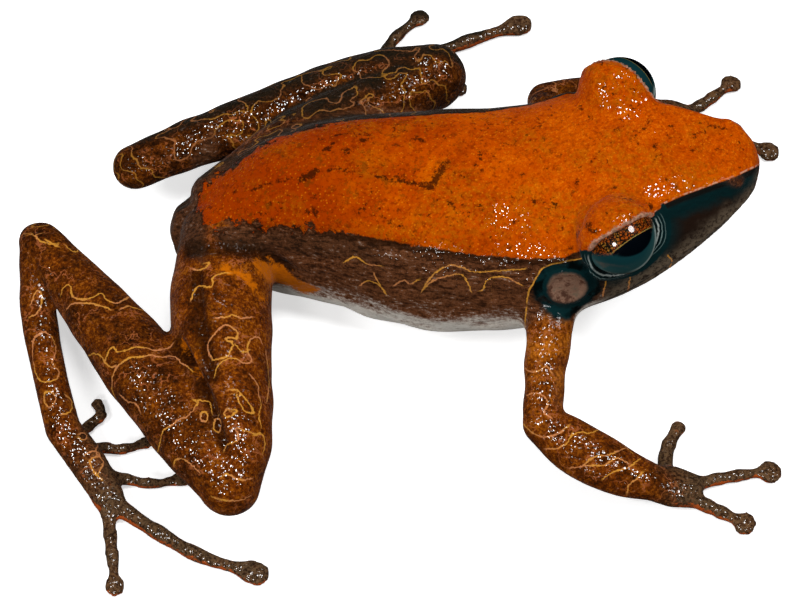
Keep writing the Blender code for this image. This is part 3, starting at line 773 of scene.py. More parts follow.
@dataclass
class Lines:
    """Fine lines on the skin, kept in groups so that close ones never share a group."""

    groups: int = 3
    reach: float = 1.3
    far: float = 5.0
    closed: float = 0.1
    end_fade: float = 0.22

    def measure(self, line: Array, points: Array, normals: Array) -> tuple[Array, Array, Array]:
        """Measure the signed distance from one line.

        The sign is that of the offset against the skin's normal crossed with the
        line's heading, so that it passes evenly through zero on the line.

        Args:
            line: points along the line.
            points: places on the skin.
            normals: the skin's outward directions there.

        Returns:
            The indices of the places within reach, their signed distances, and
            how far each lies past the line's ends.
        """
        low, high = line.min(axis=0) - self.reach, line.max(axis=0) + self.reach
        near = np.flatnonzero(((points > low) & (points < high)).all(axis=1))
        offset = points[near][:, None, :] - line[None]
        span = np.linalg.norm(offset, axis=2)
        index, rows = span.argmin(axis=1), np.arange(len(near))
        off, ahead = offset[rows, index], unit(np.gradient(line, axis=0))[index]
        run = (off * ahead).sum(axis=1)
        flat = off - run[:, None] * ahead
        side = np.where((flat * np.cross(normals[near], ahead)).sum(axis=1) < 0.0, -1.0, 1.0)
        past = np.where(index == 0, -run, 0.0) + np.where(index == len(line) - 1, run, 0.0)
        if np.linalg.norm(line[0] - line[-1]) < self.closed:
            past = np.zeros(len(near))
        keep = span[rows, index] < self.reach
        return near[keep], (np.linalg.norm(flat, axis=1) * side)[keep], past[keep]

    def trace(self, lines: Sequence[Array], points: Array, normals: Array) -> list[tuple[Array, Array]]:
        """Spread the lines over the groups and measure the distance in each.

        Args:
            lines: points along each line.
            points: places on the skin.
            normals: the skin's outward directions there.

        Returns:
            For each group the signed distance from its nearest line and how
            strongly that line shows.
        """
        fields = [(np.full(len(points), self.far), np.zeros(len(points))) for _ in range(self.groups)]
        members: list[list[Array]] = [[] for _ in range(self.groups)]
        for line in (line for line in lines if len(line) > 2):
            gaps = [
                [np.linalg.norm(line[:, None] - other, axis=2).min() for other in group]
                for group in members
            ]
            pick = int(np.argmax([min(gap, default=np.inf) for gap in gaps]))
            members[pick].append(line)
            value, ink = fields[pick]
            near, signed, past = self.measure(line, points, normals)
            closer = np.abs(signed) + np.maximum(past, 0.0) < np.abs(value[near])
            value[near[closer]] = signed[closer]
            strength = rise(self.end_fade, 0.0, past) * rise(0.5, 0.3, np.abs(signed))
            ink[near[closer]] = strength[closer]
        return fields


@dataclass
class Skin:
    """The whole frog's skin in one piece, from the lids to the toe pads."""

    trunk: Trunk
    studio: "Studio"
    voxel: float = 0.23
    even_rounds: int = 6
    tip_rounds: int = 22
    crease_rounds: int = 45
    lid_rounds: int = 60
    last_rounds: int = 3
    warm_rounds: int = 60
    digit_rounds: int = 30
    digit_top: float = 2.6
    coarse: int = 4
    lip_height: float = 0.1
    lip_place: float = 0.42
    lip_width: float = 0.28
    mouth_depth: float = 0.2
    mouth_width: float = 0.17
    mouth_back: float = 8.2
    ear_ring: float = 0.16
    ear_ring_width: float = 0.26
    ear_dip: float = 0.12
    lid_ridge: float = 0.1
    lid_groove: float = 0.08
    wrinkle_height: float = 0.06
    swelling_height: float = 0.05
    snout: float = 19.0
    nostril: tuple[float, float, float] = (19.0, 2.1, 12.05)
    mesh: SkinMesh | None = None
    marks: dict[str, Array] = field(default_factory=dict)

    def wrap(self) -> None:
        """Gather the closed forms and wrap them in one even net of small quads."""
        shell = Shell()
        for grid in [
            self.trunk.grid(),
            *(grid for limb in LIMBS for grid in limb.grids()),
            *(digit.grid() for digit in DIGITS),
            *(grid for eye in EYES for grid in eye.grids()),
        ]:
            shell.add(grid)
        core = stand("skin_core", shell.mesh("skin_core"))
        net = core.modifiers.new("net", "REMESH")
        net.mode = "VOXEL"
        net.voxel_size = self.voxel
        net.adaptivity = 0.0
        bpy.context.view_layer.update()
        graph = bpy.context.evaluated_depsgraph_get()
        wrapped = bpy.data.meshes.new_from_object(core.evaluated_get(graph))
        read = []
        for items, key, width, kind, columns in (
            (wrapped.vertices, "co", 3, float, 3),
            (wrapped.loops, "vertex_index", 1, np.int32, 4),
            (wrapped.edges, "vertices", 2, np.int32, 2),
        ):
            values = np.empty(len(items) * width, kind)
            items.foreach_get(key, values)
            read.append(values.reshape(-1, columns))
        bpy.data.objects.remove(core, do_unlink=True)
        bpy.data.meshes.remove(wrapped)
        self.mesh = SkinMesh(*read)
        log.info("skin net: %d points, %d quads", len(self.mesh.points), len(self.mesh.faces))

    def tips(self) -> Array:
        """Measure the distance to the nearest finger or toe."""
        lines = [Path(digit.rows()[:, :3], self.coarse) for digit in DIGITS]
        return np.minimum.reduce([line.nearest(self.mesh.points)[0] for line in lines])

    def soften(self) -> None:
        """Smooth the net, most of all where the limbs leave the trunk and round the lids."""
        mesh = self.mesh
        mesh.smooth(self.even_rounds)
        low = mesh.points[:, 2] < self.digit_top
        mesh.smooth(self.tip_rounds, rise(2.2, 1.6, self.tips()) * low)
        for limb in LIMBS:
            root = np.array(list(limb.pieces.values())[0][1][:3])
            reach = 5.5 if "leg" in limb.name else 3.6
            near = rise(reach * 1.25, reach * 0.75, away(mesh.points, root))
            crease = bell(self.trunk.ratio(mesh.points) - 1.08, 0.22)
            mesh.smooth(self.crease_rounds, near * crease, shrink=True)
        for eye in EYES:
            medial = (mesh.points - eye.centre()) @ unit((-0.2, eye.side.value * -0.8, 0.1))
            foot = bell(away(mesh.points, eye.centre()) - 3.25, 0.45) * rise(0.2, 1.4, medial)
            mesh.smooth(self.lid_rounds, foot, shrink=True)
        mesh.smooth(self.last_rounds)

    def shape(self) -> None:
        """Raise and sink the small forms of the skin along its normals."""
        mesh, trunk = self.mesh, self.trunk
        points, normals = mesh.points, mesh.normals()
        x, y, z = points.T
        move = np.zeros(len(points))
        on_trunk = rise(1.25, 1.06, trunk.ratio(points))
        for form in RELIEFS:
            for side in Side:
                distance, share = form.on(side, trunk).nearest(points)
                ridge = form.height * bell(distance, form.width)
                move += ridge * fade(share, 0.12) if form.fades else ridge
        height = trunk.mouth_height(points)
        lips = rise(self.mouth_back, 9.4, x) * on_trunk
        lips *= rise(0.0, 1.0, np.abs(y - trunk.middle(x)) + (x - self.snout))
        edge = self.lip_height * bell(np.abs(height) - self.lip_place, self.lip_width)
        move += lips * (edge - self.mouth_depth * bell(height, self.mouth_width))
        for eye in EYES:
            ear = away(points, eye.ear_centre())
            ring = self.ear_ring * bell(ear - eye.ear_radius, self.ear_ring_width)
            move += ring - self.ear_dip * rise(1.3, 0.9, ear)
            rim = np.where(away(points, eye.centre()) < 4.0, eye.inside(points), -FAR)
            move += self.lid_ridge * bell(rim + 0.6, 0.2) - self.lid_groove * bell(rim + 0.25, 0.16)
        flank = on_trunk * rise(0.95, 0.6, normals[:, 2]) * rise(9.0, 6.0, x)
        wrinkles, swellings = Ripples(1.5, 11, stretch=(4.0, 1.0, 1.0)), Ripples(3.0, 12)
        move += self.wrinkle_height * flank * wrinkles.value(points)
        move += self.swelling_height * (1.0 - on_trunk) * rise(1.6, 3.2, z) * swellings.value(points)
        view = View(self.studio, mesh)
        for fold in FOLDS:
            distance, share = view.nearest(fold.pixels, points)
            move += fold.height * bell(distance, fold.width) * fade(share, 0.15)
        mesh.points = points + normals * move[:, None]
        for eye in EYES:
            mesh.points = eye.open_lids(mesh.points)
        mesh.points[:, 2] = np.maximum(mesh.points[:, 2], 0.0)

    def eye_zones(self) -> None:
        """Mark the lids, the sockets, the folds under the eyes with the side where their painted reflection
        lines show, and the eardrums.

        Of the two eyes' values each point keeps the greater; sill and ear are
        distances, so they are kept as negatives until the end.
        """
        points = self.mesh.points
        for eye in EYES:
            front, upward, outward = eye.axes(0.0)
            rel = points - eye.centre()
            span, inside = np.linalg.norm(rel, axis=1), eye.inside(points)
            above = rel @ unit(0.84 * upward - 0.55 * outward) - 0.62
            zones = {
                "rim": inside - 4.0 * np.maximum(span - 3.9, 0.0),
                "lid": above * 1.3 - 6.0 * np.maximum(span - 3.7, 0.0),
                "socket": rise(5.4, 3.6, span),
                # gleam: the side of the eye where the painted reflection lines show.
                "gleam": rise(-0.1, 0.7, unit(rel) @ unit(0.55 * front - 0.83 * upward)),
                "sill": np.where(span < 4.3, 2.95 + inside - span, -FAR),
                "ear": -away(points, eye.ear_centre()),
            }
            for name, values in zones.items():
                self.marks[name] = np.maximum(self.marks.get(name, -FAR), values)
        for name in ("sill", "ear"):
            self.marks[name] = -self.marks[name]

    def limb_zones(self) -> None:
        """Mark how warm each limb piece is, with less warmth on the far limbs as painted shade, and the
        fingers and toes, with soft steps between.
        """
        points = self.mesh.points
        best, warm = np.full(len(points), FAR), np.zeros(len(points))
        for limb in LIMBS:
            # The left limbs, on the far side, get less warmth: painted shade.
            hidden = 0.3 if limb.name.startswith("left") else 1.0
            for name, rings in limb.pieces.items():
                rows = np.array(rings)
                distance, share = Path(rows[:, :3], self.coarse).nearest(points, 6.0)
                ratio = distance / np.interp(share, np.linspace(0.0, 1.0, len(rows)), rows[:, 3])
                closer = ratio < best
                best[closer] = ratio[closer]
                warm[closer] = WARMTH[name] * hidden
        for _ in range(self.warm_rounds):
            warm = self.mesh.spread(warm)
        digit = rise(2.0, 0.9, self.tips()) * (points[:, 2] < self.digit_top + 0.2)
        for _ in range(self.digit_rounds):
            digit = 0.25 * digit + 0.75 * self.mesh.spread(digit)
        self.marks.update(warm=warm, digit=digit)

    def picture_zones(self) -> None:
        """Mark what is placed by the picture.

        These are the gold lines, the temple's edge, the dark and orange marks,
        the wet patches, the nostrils and the creases, along which the colour is
        darkened as painted shade. The skin that the picture hides gets wandering
        lines and patches instead.
        """
        points, normals, marks, trunk = self.mesh.points, self.mesh.normals(), self.marks, self.trunk
        x, y, _ = points.T
        view, flip = View(self.studio, self.mesh), np.array([1.0, -1.0, 1.0])
        middle, ratio = trunk.middle(x), trunk.ratio(points)
        near_side = y < middle
        facing = (unit(self.studio.eye_point() - points) * normals).sum(axis=1)
        shown = rise(0.05, 0.25, facing) * near_side * (y < -2.0)
        wild = self.contours(points, normals)
        drawn = Lines().trace([view.drop(line) for line in GOLD_LINES], points, normals)
        for index, (distance, ink) in enumerate(drawn):
            ink *= shown
            if index == 0:
                faint = 0.45 * (1.0 - marks["digit"]) * rise(0.5, 0.3, np.abs(wild)) * rise(9.0, 7.5, x)
                distance = np.where(shown > 0.5, distance, wild)
                ink = np.where(shown > 0.5, ink, rise(0.5, 0.0, shown) * faint)
            marks[f"line_{index}"], marks[f"ink_{index}"] = distance, ink
        mirrored = points * flip
        mirrored[:, 1] += 2.0 * middle
        rule, edge = Lines(1, 2.6), [view.drop(TEMPLE_EDGE)]
        here = rule.trace(edge, points, normals)[0][0]
        there = rule.trace(edge, mirrored, normals * flip)[0][0]
        spot = np.where((ratio < 1.2) & ~near_side, view.strokes(ORANGE_MARKS[:1], mirrored), FAR)
        hidden = 0.8 * (1.0 - shown) * rise(-0.2, 0.7, Ripples(2.0, 21).value(points))
        hidden = np.where(ratio < 1.15, hidden * rise(0.5, 0.2, facing), hidden)
        wet = np.maximum(rise(0.9, -0.2, view.strokes(GRAINS, points)), hidden)
        ahead, aside, height = self.nostril
        nostrils = [
            away(points, np.array([ahead, aside * side.value + trunk.middle(ahead), height]))
            for side in Side
        ]
        creases = [view.nearest(fold.pixels, points) for fold in FOLDS]
        marks.update(
            temple=-np.where(near_side, here, there),
            mark=view.strokes(BACK_MARKS, points),
            spot=np.minimum(view.strokes(ORANGE_MARKS, points), spot),
            glisten=np.maximum(wet, np.where(ratio < 1.15, 0.0, 0.16) + 0.5 * marks["digit"]),
            nostril=np.minimum(*nostrils),
            # crease: distance to the folds, where the colour is darkened as painted shade.
            crease=np.minimum.reduce(
                [gap + 1.5 * rise(0.8, 1.0, np.abs(share - 0.5) * 2.0) for gap, share in creases]
            ),
        )

    def contours(self, points: Array, normals: Array) -> Array:
        """Measure the distance to the wandering lines on skin that the picture hides.

        The lines are where a field of broad ripples, pushed about by finer ones,
        passes through a set value; its slope is taken by small steps.

        Args:
            points: places on the skin.
            normals: the skin's directions there.

        Returns:
            Millimetres to the nearest line, with a sign for the side.
        """
        broad, fine, bend, step = Ripples(3.2, 5), Ripples(1.3, 6), Ripples(1.5, 7), 0.03

        def field_at(places: Array) -> Array:
            """Give the field's value at each place."""
            shift = 0.3 * np.stack([bend.value(places + k * 5.0) for k in range(3)], axis=1)
            return broad.value(places + shift) + 0.25 * fine.value(places) + 0.3

        value = field_at(points)
        ahead = [field_at(points + step * axis) for axis in np.eye(3)]
        slope = (np.stack(ahead, axis=1) - value[:, None]) / step
        slope -= (slope * normals).sum(axis=1)[:, None] * normals
        return value / np.maximum(np.linalg.norm(slope, axis=1), 0.3)

    def paint_zones(self) -> None:
        """Work out the colour zones as one value for each point."""
        points, normals, marks = self.mesh.points, self.mesh.normals(), self.marks
        (x, y, z), (face_x, face_y, face_z) = points.T, normals.T
        ratio, out = self.trunk.ratio(points), y - self.trunk.middle(x)
        self.eye_zones()
        self.limb_zones()
        self.picture_zones()
        border, level = (np.interp(x, BORDER_X, row) for row in (BORDER_OUT, BORDER_UP))
        far = rise(5.0, 0.5, x) * rise(-20.5, -16.5, x) * (out > 0.0)
        back = border - 1.25 * far - np.abs(out) + 0.75 * (z - level)
        band = rise(-2.9, -2.1, back) * rise(-0.3, -0.7, back)
        band *= rise(-5.0, -8.0, x) * rise(1.6, 1.35, ratio)
        vent = rise(-18.6, -19.8, x) * rise(2.4, 1.9, ratio)
        dull = np.maximum(band, vent)
        marks["warm"] *= 1.0 - dull
        marks["ink_0"] *= 1.0 - vent
        on_trunk = np.maximum(rise(1.16, 1.04, ratio), dull)
        back -= 3.0 * rise(-19.2, -20.6, x) + 4.0 * np.maximum(ratio - 1.7, 0.0)
        back += 0.4 * rise(8.0, 11.0, x) * (out > 0.0)
        arm = rise(7.0, 5.6, np.abs(x - 1.5) + 1.5) * (out < -7.5) * rise(0.45, 0.8, face_x)
        # beyond and slope build the shade mark: painted shade, darker on upper slopes that face the frog's
        # left, on the far limbs and the far flank.
        beyond = np.maximum(rise(5.0, 6.5, y) * (x < 0.5), on_trunk * (out > 0.0))
        slope = rise(0.0, 0.55, face_y + 0.25 * (1.0 - on_trunk)) * rise(-0.2, 0.3, face_z)
        height = self.trunk.mouth_height(points)
        marks.update(
            dull=dull,
            forth=rise(-20.0, 18.0, x),
            ragged=0.45 + 3.2 * rise(-7.0, -14.0, x),
            border=back,
            back=np.maximum(back, marks["lid"]),
            trunk=on_trunk,
            belly=rise(6.8, 3.4, z - 0.12 * (x + 5.0)) * rise(0.55, -0.2, face_z) * on_trunk,
            streak=marks["digit"] * rise(0.1, 0.45, np.abs(face_y) * (1.0 - face_z)),
            under=np.maximum(rise(0.1, 0.8, -face_z), arm),
            shade=slope * beyond * rise(9.0, 6.5, x),
            face=rise(8.6, 10.4, x) * rise(1.2, 1.06, ratio),
            mouth=np.where((x > self.mouth_back) & (ratio < 1.12), height, FAR),
        )

    def piece(self, body: "BodyFrame") -> bpy.types.Object:
        """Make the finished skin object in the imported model's frame.

        Args:
            body: the frame it is put in.

        Returns:
            The object, with its marks.
        """
        mesh = bpy.data.meshes.new("skin")
        mesh.from_pydata(body.to_metres(self.mesh.points), [], self.mesh.faces.tolist())
        carry(mesh, self.marks)
        mesh.shade_smooth()
        return stand("skin", mesh)


@dataclass
class Relief:
    """A ridge or groove along a line given for the left side, counted out from the midline."""

    line: Rows
    height: float
    width: float
    fades: bool = True
    per_span: int = 6

    def on(self, side: Side, trunk: Trunk) -> Path:
        """Shift the line to the trunk's middle.

        Args:
            side: the side it is put on.
            trunk: the trunk under it.

        Returns:
            The line on that side.
        """
        rows = np.array(self.line)
        rows[:, 1] = trunk.middle(rows[:, 0]) + side.value * rows[:, 1]
        return Path(rows, self.per_span)


@dataclass
class Fold:
    """A fold or groove of the skin, traced through picture points."""

    pixels: Rows
    height: float
    width: float


@dataclass
class Mark:
    """A dark, orange or wet stroke through picture points, with half its width."""

    pixels: Rows
    radius: float


FOLDS = (
    Fold(((164, 322), (178, 342), (192, 366), (206, 392), (215, 415), (221, 436), (228, 458)), -0.8, 0.36),
    Fold(((197, 262), (198, 285), (200, 310), (203, 335), (209, 360), (216, 396)), -0.42, 0.4),
    Fold(((174, 256), (200, 250), (236, 250), (268, 257), (300, 272)), -0.32, 0.45),
    Fold(((570, 240), (575, 215), (585, 195), (604, 182), (630, 178)), -0.12, 0.3),
    Fold(((579, 236), (584, 216), (594, 202), (610, 193), (630, 190)), -0.07, 0.2),
)
BACK_MARKS = (
    Mark(((331, 167), (352, 171), (378, 177), (405, 182)), 0.03),
    Mark(((398, 180), (424, 185)), 0.16),
    Mark(((420, 184), (431, 187), (437, 177), (446, 164)), 0.22),
    Mark(((258, 187), (276, 182), (294, 178)), 0.03),
    Mark(((300, 180), (314, 172)), 0.22),
    Mark(((308, 212), (316, 213)), 0.18),
    Mark(((326, 150), (333, 143)), 0.14),
    Mark(((345, 152), (352, 148)), 0.12),
    Mark(((362, 141), (368, 139)), 0.1),
    Mark(((415, 138), (422, 140)), 0.16),
    Mark(((318, 140), (345, 134), (372, 136)), 0.0),
    Mark(((246, 225), (254, 229)), 0.1),
    Mark(((587, 225), (594, 232)), 0.16),
    Mark(((647, 203), (652, 208)), 0.1),
    Mark(((647, 124), (650, 125)), 0.05),
    Mark(((670, 126), (674, 128)), 0.04),
    Mark(((712, 127), (727, 129)), 0.05),
    Mark(((657, 153), (660, 156)), 0.05),
    Mark(((575, 180), (580, 183)), 0.02),
    Mark(((578, 234), (583, 226)), 0.04),
    Mark(((620, 197), (633, 201)), 0.02),
    Mark(((560, 226), (563, 229)), 0.02),
    Mark(((608, 162), (611, 163)), 0.0),
    Mark(((690, 150), (694, 151)), 0.0),
    Mark(((540, 200), (543, 202)), 0.0),
)
GRAINS = (
    Mark(((612, 92), (628, 102), (648, 116), (662, 130)), 0.7),
    Mark(((335, 250), (360, 258), (400, 266)), 0.6),
    Mark(((430, 262), (470, 272), (520, 280), (560, 296)), 0.9),
    Mark(((505, 222), (530, 245), (548, 268)), 0.9),
    Mark(((645, 190), (668, 184), (700, 172), (735, 156)), 0.35),
    Mark(((596, 224), (606, 218), (618, 213)), 0.4),
    Mark(((140, 385), (170, 425), (200, 465), (222, 490)), 1.5),
    Mark(((236, 430), (240, 460), (238, 492)), 1.1),
    Mark(((46, 262), (48, 300), (50, 360), (54, 392)), 0.3),
    Mark(((52, 400), (64, 428), (80, 460)), 0.8),
    Mark(((60, 250), (40, 236)), 0.5),
    Mark(((190, 145), (250, 112), (330, 88), (420, 62)), 0.9),
    Mark(((534, 320), (537, 360), (536, 410)), 0.8),
    Mark(((548, 425), (590, 445), (640, 475)), 0.8),
    Mark(((250, 262), (258, 270)), 0.3),
)
ORANGE_MARKS = (
    Mark(((262, 268), (280, 277), (306, 288)), 0.8),
    Mark(((224, 268), (236, 272), (250, 282)), 0.25),
    Mark(((252, 286), (262, 298)), 0.2),
    Mark(((194, 356), (197, 360)), 0.22),
    Mark(((199, 371), (202, 374)), 0.2),
    Mark(((183, 340), (186, 350)), 0.1),
)
TEMPLE_EDGE = ((584, 257), (576, 259), (556, 263), (542, 268), (534, 281), (528, 292), (526, 306))
GOLD_LINES = (
    (
        (61, 294), (63, 288), (70, 285), (73, 297), (88, 299), (101, 293), (107, 300), (117, 303),
        (127, 298), (134, 293),
    ),
    ((67, 309), (72, 304), (87, 303), (101, 306), (110, 309)),
    ((121, 309), (128, 306), (135, 308), (143, 310)),
    ((46, 240), (56, 245), (58, 244)),
    ((66, 246), (69, 249), (76, 252), (80, 246)),
    ((86, 357), (94, 354), (101, 356), (105, 361), (108, 352), (113, 347), (118, 352), (126, 350)),
    ((126, 350), (132, 348), (143, 347), (154, 350), (168, 348), (173, 344)),
    (
        (170, 356), (160, 357), (150, 355), (140, 357), (129, 358), (118, 366), (113, 375), (112, 389),
        (117, 401),
    ),
    ((104, 361), (110, 367), (115, 366)),
    (
        (157, 454), (160, 442), (163, 431), (171, 426), (180, 419), (188, 416), (196, 406), (199, 403),
        (194, 400),
    ),
    ((194, 400), (206, 401), (210, 403), (212, 412)),
    ((174, 465), (175, 460), (182, 459), (188, 462), (199, 472)),
    ((200, 415), (204, 411), (208, 415), (206, 421), (201, 420), (200, 415)),
    ((170, 356), (177, 358), (181, 363), (188, 367), (192, 371)),
    ((120, 395), (128, 402), (136, 404), (140, 412)),
    ((194, 269), (199, 270), (206, 267), (210, 262), (205, 263)),
    ((191, 300), (194, 292), (199, 286), (212, 287), (213, 277), (224, 273), (229, 273)),
    ((216, 318), (226, 317), (233, 315), (241, 318), (252, 317)),
    (
        (213, 360), (226, 357), (231, 350), (233, 344), (226, 340), (229, 337), (236, 339), (238, 333),
        (234, 329), (227, 325), (220, 328), (213, 336), (208, 344), (209, 353), (213, 360),
    ),
    (
        (215, 375), (217, 367), (223, 361), (233, 358), (244, 363), (252, 361), (247, 350), (250, 340),
        (258, 337), (262, 343),
    ),
    ((250, 375), (258, 385), (258, 392), (261, 406), (259, 414), (261, 426)),
    ((233, 410), (238, 410), (230, 417), (224, 414), (227, 409)),
    ((224, 451), (227, 445), (237, 441), (238, 434), (236, 428), (246, 431), (255, 434)),
    ((223, 476), (227, 474), (241, 480), (252, 478)),
    ((213, 497), (227, 501), (241, 500), (250, 496)),
    ((236, 345), (243, 352), (249, 350)),
    (
        (33, 340), (38, 335), (45, 332), (53, 339), (56, 352), (52, 363), (59, 372), (56, 379), (44, 382),
        (37, 376), (33, 360), (33, 340),
    ),
    ((31, 304), (35, 293), (40, 291), (42, 300), (38, 312), (30, 317)),
    ((45, 392), (51, 392), (56, 398), (52, 406), (47, 406), (44, 399), (45, 392)),
    ((80, 434), (84, 433), (87, 437), (83, 440), (79, 438)),
    ((86, 454), (94, 451), (100, 455), (90, 460), (93, 470), (101, 479)),
    (
        (422, 291), (428, 281), (436, 272), (445, 267), (453, 265), (464, 268), (475, 272), (498, 271),
        (524, 269),
    ),
    ((425, 288), (432, 281), (440, 278), (452, 275), (462, 275), (469, 285), (471, 291)),
    ((480, 291), (483, 290), (487, 280), (497, 277), (508, 278), (521, 285)),
    ((345, 262), (351, 258), (357, 257), (367, 264), (380, 266)),
    ((395, 285), (404, 280), (410, 284), (418, 280)),
    ((360, 285), (368, 281), (377, 284), (384, 290)),
    ((524, 368), (532, 372), (540, 370), (546, 366), (551, 372)),
    ((527, 395), (536, 393), (545, 397), (548, 404), (544, 412), (551, 418)),
    ((523, 424), (533, 433), (545, 437), (557, 434), (568, 426)),
    ((571, 437), (579, 432), (590, 433), (598, 430)),
    ((583, 466), (592, 458), (607, 455), (621, 450), (628, 444), (622, 438), (611, 437)),
    ((604, 478), (615, 471), (627, 468), (640, 459)),
    ((627, 493), (629, 485), (637, 479), (642, 473)),
    ((230, 390), (237, 390), (243, 396), (250, 405), (254, 413), (245, 411), (240, 404), (237, 396)),
    ((254, 435), (262, 434), (265, 444), (263, 453)),
    ((214, 418), (220, 420), (221, 428), (217, 433), (214, 427), (214, 418)),
    ((23, 232), (34, 235), (40, 241), (51, 244), (58, 247)),
    ((266, 352), (268, 368), (269, 385), (267, 402)),
    ((546, 449), (558, 448), (567, 443), (572, 434)),
    ((570, 468), (585, 466), (604, 465), (616, 458), (628, 463)),
    ((374, 274), (379, 284), (386, 294)),
    ((606, 281), (604, 289), (603, 296)),
    ((630, 277), (629, 284), (628, 290)),
    ((668, 256), (672, 261), (670, 267)),
    ((66, 395), (72, 402), (70, 412), (62, 414)),
    ((100, 440), (96, 452), (103, 462), (98, 474)),
)
RELIEFS = (
    Relief(((12.9, 4.6, 13.7), (15.0, 3.85, 13.6), (17.0, 2.95, 13.2), (19.2, 1.95, 12.7)), 0.22, 0.4),
    Relief(((13.6, 5.6, 11.6), (15.5, 4.6, 11.7), (17.4, 3.6, 11.5), (18.6, 2.9, 11.4)), -0.25, 1.0),
    Relief(
        ((7.7, 6.9, 10.9), (6.4, 7.6, 11.0), (5.3, 8.0, 10.2), (4.9, 8.3, 8.8), (4.9, 8.5, 7.4)),
        0.28,
        0.42,
    ),
    Relief(((19.0, 2.1, 12.0), (19.05, 2.12, 12.0)), 0.16, 0.42, False),
    Relief(((18.9, 2.5, 12.7), (19.3, 2.3, 12.6)), 0.3, 0.8, False),
    Relief(((13.2, 2.6, 14.0), (11.6, 2.4, 14.3), (9.9, 2.7, 14.2), (8.3, 3.9, 13.6)), -0.22, 0.55),
)
WARMTH = dict(upper_arm=1.2, forearm=0.62, hand=0.1, thigh=0.75, shank=0.42, tarsus=0.6, foot=0.4)

# The orange back's edge: how far out and how high it lies at each x.
BORDER_X = (-22.0, -18.0, -14.5, -10.0, -2.0, 3.7, 7.0, 9.0, 12.0, 13.5, 15.0, 17.0, 19.0, 20.8)
BORDER_OUT = (0.9, 2.2, 3.9, 4.6, 5.75, 6.75, 6.9, 6.3, 5.6, 4.7, 4.0, 3.0, 2.0, 0.9)
BORDER_UP = (6.0, 8.6, 9.8, 10.1, 10.3, 10.9, 11.2, 12.0, 12.9, 13.4, 13.4, 13.0, 12.6, 12.0)


@dataclass
class Eyeball:
    """One wet eyeball with its own coordinates for the iris and pupil."""

    seat: EyeSeat
    rings: int = 72
    sides: int = 120
    cornea: float = 0.14
    cornea_width: float = 0.7
    pole_gap: float = 0.004

    def piece(self, body: "BodyFrame") -> bpy.types.Object:
        """Make the eyeball.

        The surface is a sphere about the looking axis whose radius swells by a
        soft bell toward the middle of the cornea.

        Args:
            body: the frame it is put in.

        Returns:
            The object, with its marks.
        """
        centre, axes = self.seat.centre(), self.seat.axes(0.0)
        polar = np.linspace(self.pole_gap, np.pi - self.pole_gap, self.rings)[:, None]
        turn = np.linspace(0.0, 2.0 * np.pi, self.sides, endpoint=False)
        level = np.sin(polar)
        parts = (level * np.cos(turn), level * np.sin(turn), np.cos(polar) + 0.0 * turn)
        spokes = sum(part[..., None] * axis for part, axis in zip(parts, axes))
        radius = self.seat.radius + self.cornea * bell(polar, self.cornea_width)
        shell = Shell()
        shell.add(centre + radius[..., None] * spokes)
        name = "eyeball_" + self.seat.side.name.lower()
        mesh, points = shell.mesh(name), shell.points[0]
        f, u, o = (unit(points - centre) @ axis for axis in axes)
        far = np.full(len(points), float(self.seat.side is Side.LEFT))
        carry(mesh, {"front": f, "upward": u, "outward": o, "far": far})
        mesh.vertices.foreach_set("co", body.to_metres(points).ravel())
        if self.seat.side is Side.RIGHT:
            mesh.flip_normals()
        mesh.update()
        mesh.shade_smooth()
        return stand(name, mesh)


# ------------------------------------------------------------------- finishes


def tone(code: str) -> tuple[float, float, float, float]:
    """Turn a colour code into the numbers that the shader takes.

    Args:
        code: six hex digits of red, green and blue.

    Returns:
        Linear red, green, blue and alpha.
    """
    parts = np.array([int(code[k : k + 2], 16) for k in (0, 2, 4)]) / 255.0
    linear = np.where(parts <= 0.04045, parts / 12.92, ((parts + 0.055) / 1.055) ** 2.4)
    return (*linear.tolist(), 1.0)


class Value:
    """A number or colour that shader nodes work out; arithmetic on it lays out more nodes."""

    def __init__(self, bench: "Bench", socket: bpy.types.NodeSocket) -> None:
        """Hold the output that gives the value."""
        self.bench, self.socket = bench, socket

    def sum(self, kind: str, *others: "Value | float") -> "Value":
        """Work out one sum with other values."""
        return self.bench.node("Math", dict(enumerate((self, *others))), operation=kind)

    def __add__(self, other: "Value | float") -> "Value":
        """Add another value."""
        return self.sum("ADD", other)

    def __sub__(self, other: "Value | float") -> "Value":
        """Take another value away."""
        return self.sum("SUBTRACT", other)

    def __rsub__(self, other: float) -> "Value":
        """Take this value from a number."""
        return self * -1.0 + other

    def __mul__(self, other: "Value | float") -> "Value":
        """Multiply by another value."""
        return self.sum("MULTIPLY", other)

    def __truediv__(self, other: float) -> "Value":
        """Divide by a number."""
        return self.sum("DIVIDE", other)

    def __pow__(self, power: float) -> "Value":
        """Raise to a power."""
        return self.sum("POWER", power)

    def __abs__(self) -> "Value":
        """Drop the sign."""
        return self.sum("ABSOLUTE")

    def most(self, other: "Value | float") -> "Value":
        """Give the greater of two values."""
        return self.sum("MAXIMUM", other)

    def rise(self, low: float, high: float, top: float = 1.0) -> "Value":
        """Rise softly from 0 at low to top at high."""
        ends = {"Value": self, "From Min": low, "From Max": high, "To Max": top}
        return self.bench.node("MapRange", ends, "Result", interpolation_type="SMOOTHSTEP")


Colour = Value | str | tuple[float, ...]


